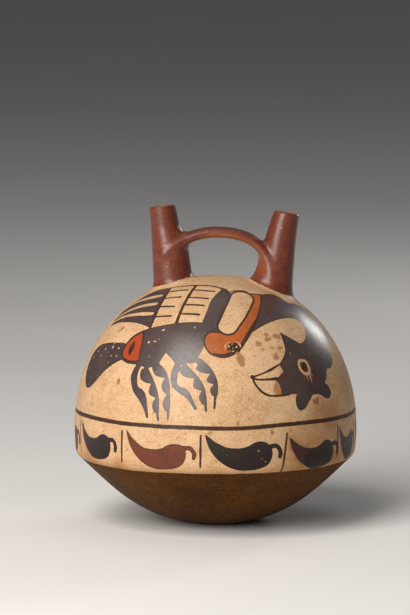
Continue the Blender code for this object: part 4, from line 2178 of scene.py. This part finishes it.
    def ground(self, tree: ClayTree, height: Socket) -> Socket:
        """The cream slip, crazed, specked, thin low down, with ochre stains and painted shade.

        Args:
            tree: The material's tree.
            height: The height on the bottle, in millimetres.

        Returns:
            Its colour.
        """
        place = tree.place
        colour = tree.clouded(self.cream, self.ochre, 6.0, 0.70)
        cracks = tree.group(tree.effects.crazing, Place=place, Size=2.8)
        colour = tree.mix(tree.maths("MULTIPLY", cracks, self.cracked), colour, self.crack)
        for kind in self.speckles:
            share = tree.maths("MULTIPLY", tree.spots(kind.size, kind.share), kind.strength)
            colour = tree.mix(share, colour, kind.colour)
        # Darker and more ochre over the lowest band of cream: thin slip there, and painted shade low
        # on the wall.
        thin = tree.maths("MULTIPLY_ADD", tree.noise(place, 12.0, detail=3.0), 9.0, height)
        thin = tree.remap(thin, self.border_z + 3.0, self.border_z + 12.0, 0.42, 0.0)
        colour = tree.mix(thin, colour, self.stain_and_shade)
        # Ochre patches: stains, and on the lower right front painted shade for the side that falls
        # into shadow.
        for *middle, reach in self.stain_and_shade_patches:
            gap = tree.vector("DISTANCE", place, middle)[1]
            ragged = tree.maths("MULTIPLY_ADD", tree.noise(place, 9.0, detail=4.0), 16.0, gap)
            share = tree.remap(ragged, reach + 8.0, 8.0, 0.0, self.stain_and_shade_strength)
            colour = tree.mix(share, colour, self.stain_and_shade)
        return colour

    def lay_coat(self, tree: ClayTree, skin: Skin, coat: Coat, band: Socket) -> None:
        """Lays one slip over what lies under it.

        Args:
            tree: The material's tree.
            skin: The surface so far.
            coat: The slip's look.
            band: The distance to the edge of the ruled band line, in millimetres.
        """
        reach, paint = tree.attribute(coat.slip.value), coat.clouded(tree)
        if coat.slip is Slip.LINE:
            reach = tree.maths("MINIMUM", reach, band)
        covered = coat.coverage(tree, reach)
        if coat.most < 1.0:
            covered = tree.maths("MULTIPLY", covered, coat.most)
        if coat.slip is Slip.RED_BROWN:
            wine = tree.noise(tree.place, 7.0, stretch=(1.0, 1.0, 2.5))
            paint = tree.mix(tree.remap(wine, 0.46, 0.62, 0.0, 0.7), paint, self.wine)
            # Painted bounce light: the strap's hollow side is tinted warmer, as if lit from the cream
            # body.
            paint = tree.mix(self.painted_bounce_under_strap(tree), paint, self.warm)
        # Painted shade: the slip is darkened below the band line, low on the wall.
        if coat.painted_frieze_shade:
            share = tree.remap(tree.axes["Z"], self.band_z - 3.0, self.band_z + 1.0,
                               coat.painted_frieze_shade, 0.0)
            paint = tree.mix(share, paint, self.painted_frieze_shade_colour)
        if coat.edge:
            rim = tree.remap(tree.maths("ABSOLUTE", reach), 0.35, 0.85, coat.edge, 0.0)
            paint = tree.mix(rim, paint, tuple(0.35 * part for part in coat.colour))
        if coat.slip in self.chipped:
            chips = tree.maths("MULTIPLY", tree.spots(1.9, 0.05), 0.75)
            covered = tree.maths("MULTIPLY", covered, tree.maths("SUBTRACT", 1.0, chips))
        skin.lay(covered, paint, coat)

    def painted_bounce_under_strap(self, tree: ClayTree) -> Socket:
        """Where painted bounce light from the cream body warms the handle's slip, under the strap.

        Args:
            tree: The material's tree.

        Returns:
            How much it is, at most about a half.
        """
        (x, z), (across, up) = self.arch, self.arch_radii
        shrunk = tree.vector("MULTIPLY", tree.place, (1.0 / across, 0.0, 1.0 / up))[0]
        gap = tree.vector("DISTANCE", shrunk, (x / across, 0.0, z / up))[1]
        inside = tree.remap(gap, 1.02, 1.20, 0.60, 0.0)
        inside = tree.maths("MULTIPLY", inside, tree.remap(tree.axes["X"], -14.0, -2.0))
        return tree.maths("MULTIPLY", inside, tree.remap(tree.axes["Z"], 134.0, 144.0))

    def wear_lips(self, tree: ClayTree, skin: Skin) -> None:
        """Rubs the slip off the crests of the lips.

        Args:
            tree: The material's tree.
            skin: The surface so far.
        """
        crest = tree.maths("SUBTRACT", tree.attribute("lip_depth"), 0.10)
        worn = tree.coverage(crest, 0.7, 0.30)
        skin.tint(tree.maths("MULTIPLY", worn, 0.75),
                  tree.clouded(self.lip, self.lip_other, 2.5, 0.8))
        skin.smooth(worn, 0.62, 0.1)


@dataclass(frozen=True)
class RawClay:
    """The unslipped fired clay inside the bottle.

    Attributes:
        colour: Its colour.
        other: What it wanders to.
    """

    colour: Colour = (0.26, 0.115, 0.045)
    other: Colour = (0.13, 0.055, 0.025)

    def material(self, effects: Effects) -> bpy.types.Material:
        """The finished material.

        Args:
            effects: The shared node groups.

        Returns:
            The material.
        """
        tree = ClayTree("raw_clay", effects)
        depths = {"Grain": 0.10, "Strokes": 0.12, "Rubbing": 0.0, "Pits": 0.12}
        rough = tree.remap(tree.noise(tree.place, 3.0, detail=3.0), 0.3, 0.7, 0.72, 0.92)
        return tree.dressed({"Base Color": tree.clouded(self.colour, self.other, 5.0, 0.8),
                             "Roughness": rough, "Normal": tree.bumped(depths)})


# ---- studio


@dataclass(frozen=True)
class Lamp:
    """One soft rectangular light.

    Attributes:
        name: Its name.
        way: The direction that it stands in, from the bottle.
        distance: How far off it stands.
        size: Its width and height.
        power: Its power in watts.
        colour: Its colour.
    """

    name: str
    way: Place
    distance: float
    size: Point
    power: float
    colour: Colour = (1.0, 1.0, 1.0)

    def build(self, target: Vector) -> None:
        """Adds the light, turned to face a target.

        Args:
            target: The place that it faces.
        """
        data = bpy.data.lights.new(self.name, "AREA")
        data.shape = "RECTANGLE"
        data.size, data.size_y = self.size
        data.energy = self.power
        data.color = self.colour
        lamp = bpy.data.objects.new(self.name, data)
        way = Vector(self.way).normalized()
        lamp.location = target + self.distance * way
        lamp.rotation_euler = way.to_track_quat("Z", "Y").to_euler()
        bpy.context.scene.collection.objects.link(lamp)


@dataclass(frozen=True)
class Studio:
    """A pale floor, soft lights and the camera.

    Attributes:
        paper: The floor's colour.
        floor_size: How far the floor reaches to each side.
        camera_place: Where the camera stands.
        pitch: How far it looks down, in degrees.
        lens: Its focal length in millimetres, on a 36 mm sensor.
        world: The strength of the light from all round.
        sky: The colour of that light.
        aim: The height that the lights are turned to.
        lamps: The lights.
    """

    paper: Colour = (0.80, 0.785, 0.76)
    floor_size: float = 40.0
    camera_place: Place = (-0.0058, -2.2, 0.3806)
    pitch: float = 6.796
    lens: float = 235.1
    world: float = 0.08
    sky: Colour = (0.93, 0.95, 1.0)
    aim: float = 0.07
    lamps: tuple[Lamp, ...] = (
        Lamp("key_light", (-0.56, -0.83, 0.68), 1.4, (0.80, 1.50), 31.2, (1.0, 0.96, 0.92)),
        Lamp("rim_light", (0.57, 0.74, 0.365), 1.5, (0.18, 0.30), 2.9, (1.0, 0.98, 0.95)),
        Lamp("top_light", (0.0, 0.35, 1.0), 2.6, (2.2, 2.2), 6.0),
    )

    def build(self) -> Object:
        """Makes the floor, the world, the lights and the camera.

        Returns:
            The floor.
        """
        bpy.context.scene.view_settings.view_transform = "Standard"
        self.shoot()
        self.light()
        return self.floor()

    def floor(self) -> Object:
        """A large sheet of matt paper under the bottle.

        Returns:
            The floor.
        """
        mesh = bmesh.new()
        bmesh.ops.create_grid(mesh, x_segments=8, y_segments=8, size=self.floor_size)
        bmesh.ops.translate(mesh, verts=mesh.verts, vec=(0.0, 0.0, -0.0001))
        floor = made_object(mesh, "floor")
        tree = MaterialTree("floor_paper")
        shade = tree.remap(tree.noise(tree.place, 260.0), 0.3, 0.7)
        paper = tree.mix(shade, self.paper, tuple(0.97 * part for part in self.paper))
        floor.data.materials.append(tree.dressed({"Base Color": paper, "Roughness": 0.85}))
        return floor

    def light(self) -> None:
        """The lights and the pale world."""
        for lamp in self.lamps:
            lamp.build(Vector((0.0, 0.0, self.aim)))
        world = bpy.data.worlds.new("studio")
        world.use_nodes = True
        back = world.node_tree.nodes["Background"]
        back.inputs["Color"].default_value = (*self.sky, 1.0)
        back.inputs["Strength"].default_value = self.world
        bpy.context.scene.world = world

    def shoot(self) -> None:
        """The camera."""
        data = bpy.data.cameras.new("camera")
        data.lens = self.lens
        data.sensor_width = 36.0
        data.clip_end = 100.0
        camera = bpy.data.objects.new("camera", data)
        camera.location = self.camera_place
        camera.rotation_euler = (math.radians(90.0 - self.pitch), 0.0, 0.0)
        bpy.context.scene.collection.objects.link(camera)
        bpy.context.scene.camera = camera


def main() -> None:
    """Builds the bottle, paints it, sets up the studio and reports each piece."""
    logging.basicConfig(level=logging.INFO, format="%(name)s: %(message)s")
    bottle, studio = Bottle(), Studio()
    front, back = Bird(DomeChart(-90.0)), Bird(DomeChart(90.0), plain=True)
    painting = Painting(((front.chart, front.marks()), (back.chart, back.marks()),
                         *Frieze().charted()))
    piece = bottle.built(painting, "bottle")
    bottle.dress(piece)
    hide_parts("body", "spouts_and_handle")
    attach(piece, "root")
    log.info("%s: %d faces, painted with %d charts", piece.name, len(piece.data.polygons),
             len(painting.charted))
    floor = studio.build()
    log.info("studio: %s and %d lights", floor.name, len(studio.lamps))


if __name__ == "__main__":
    main()
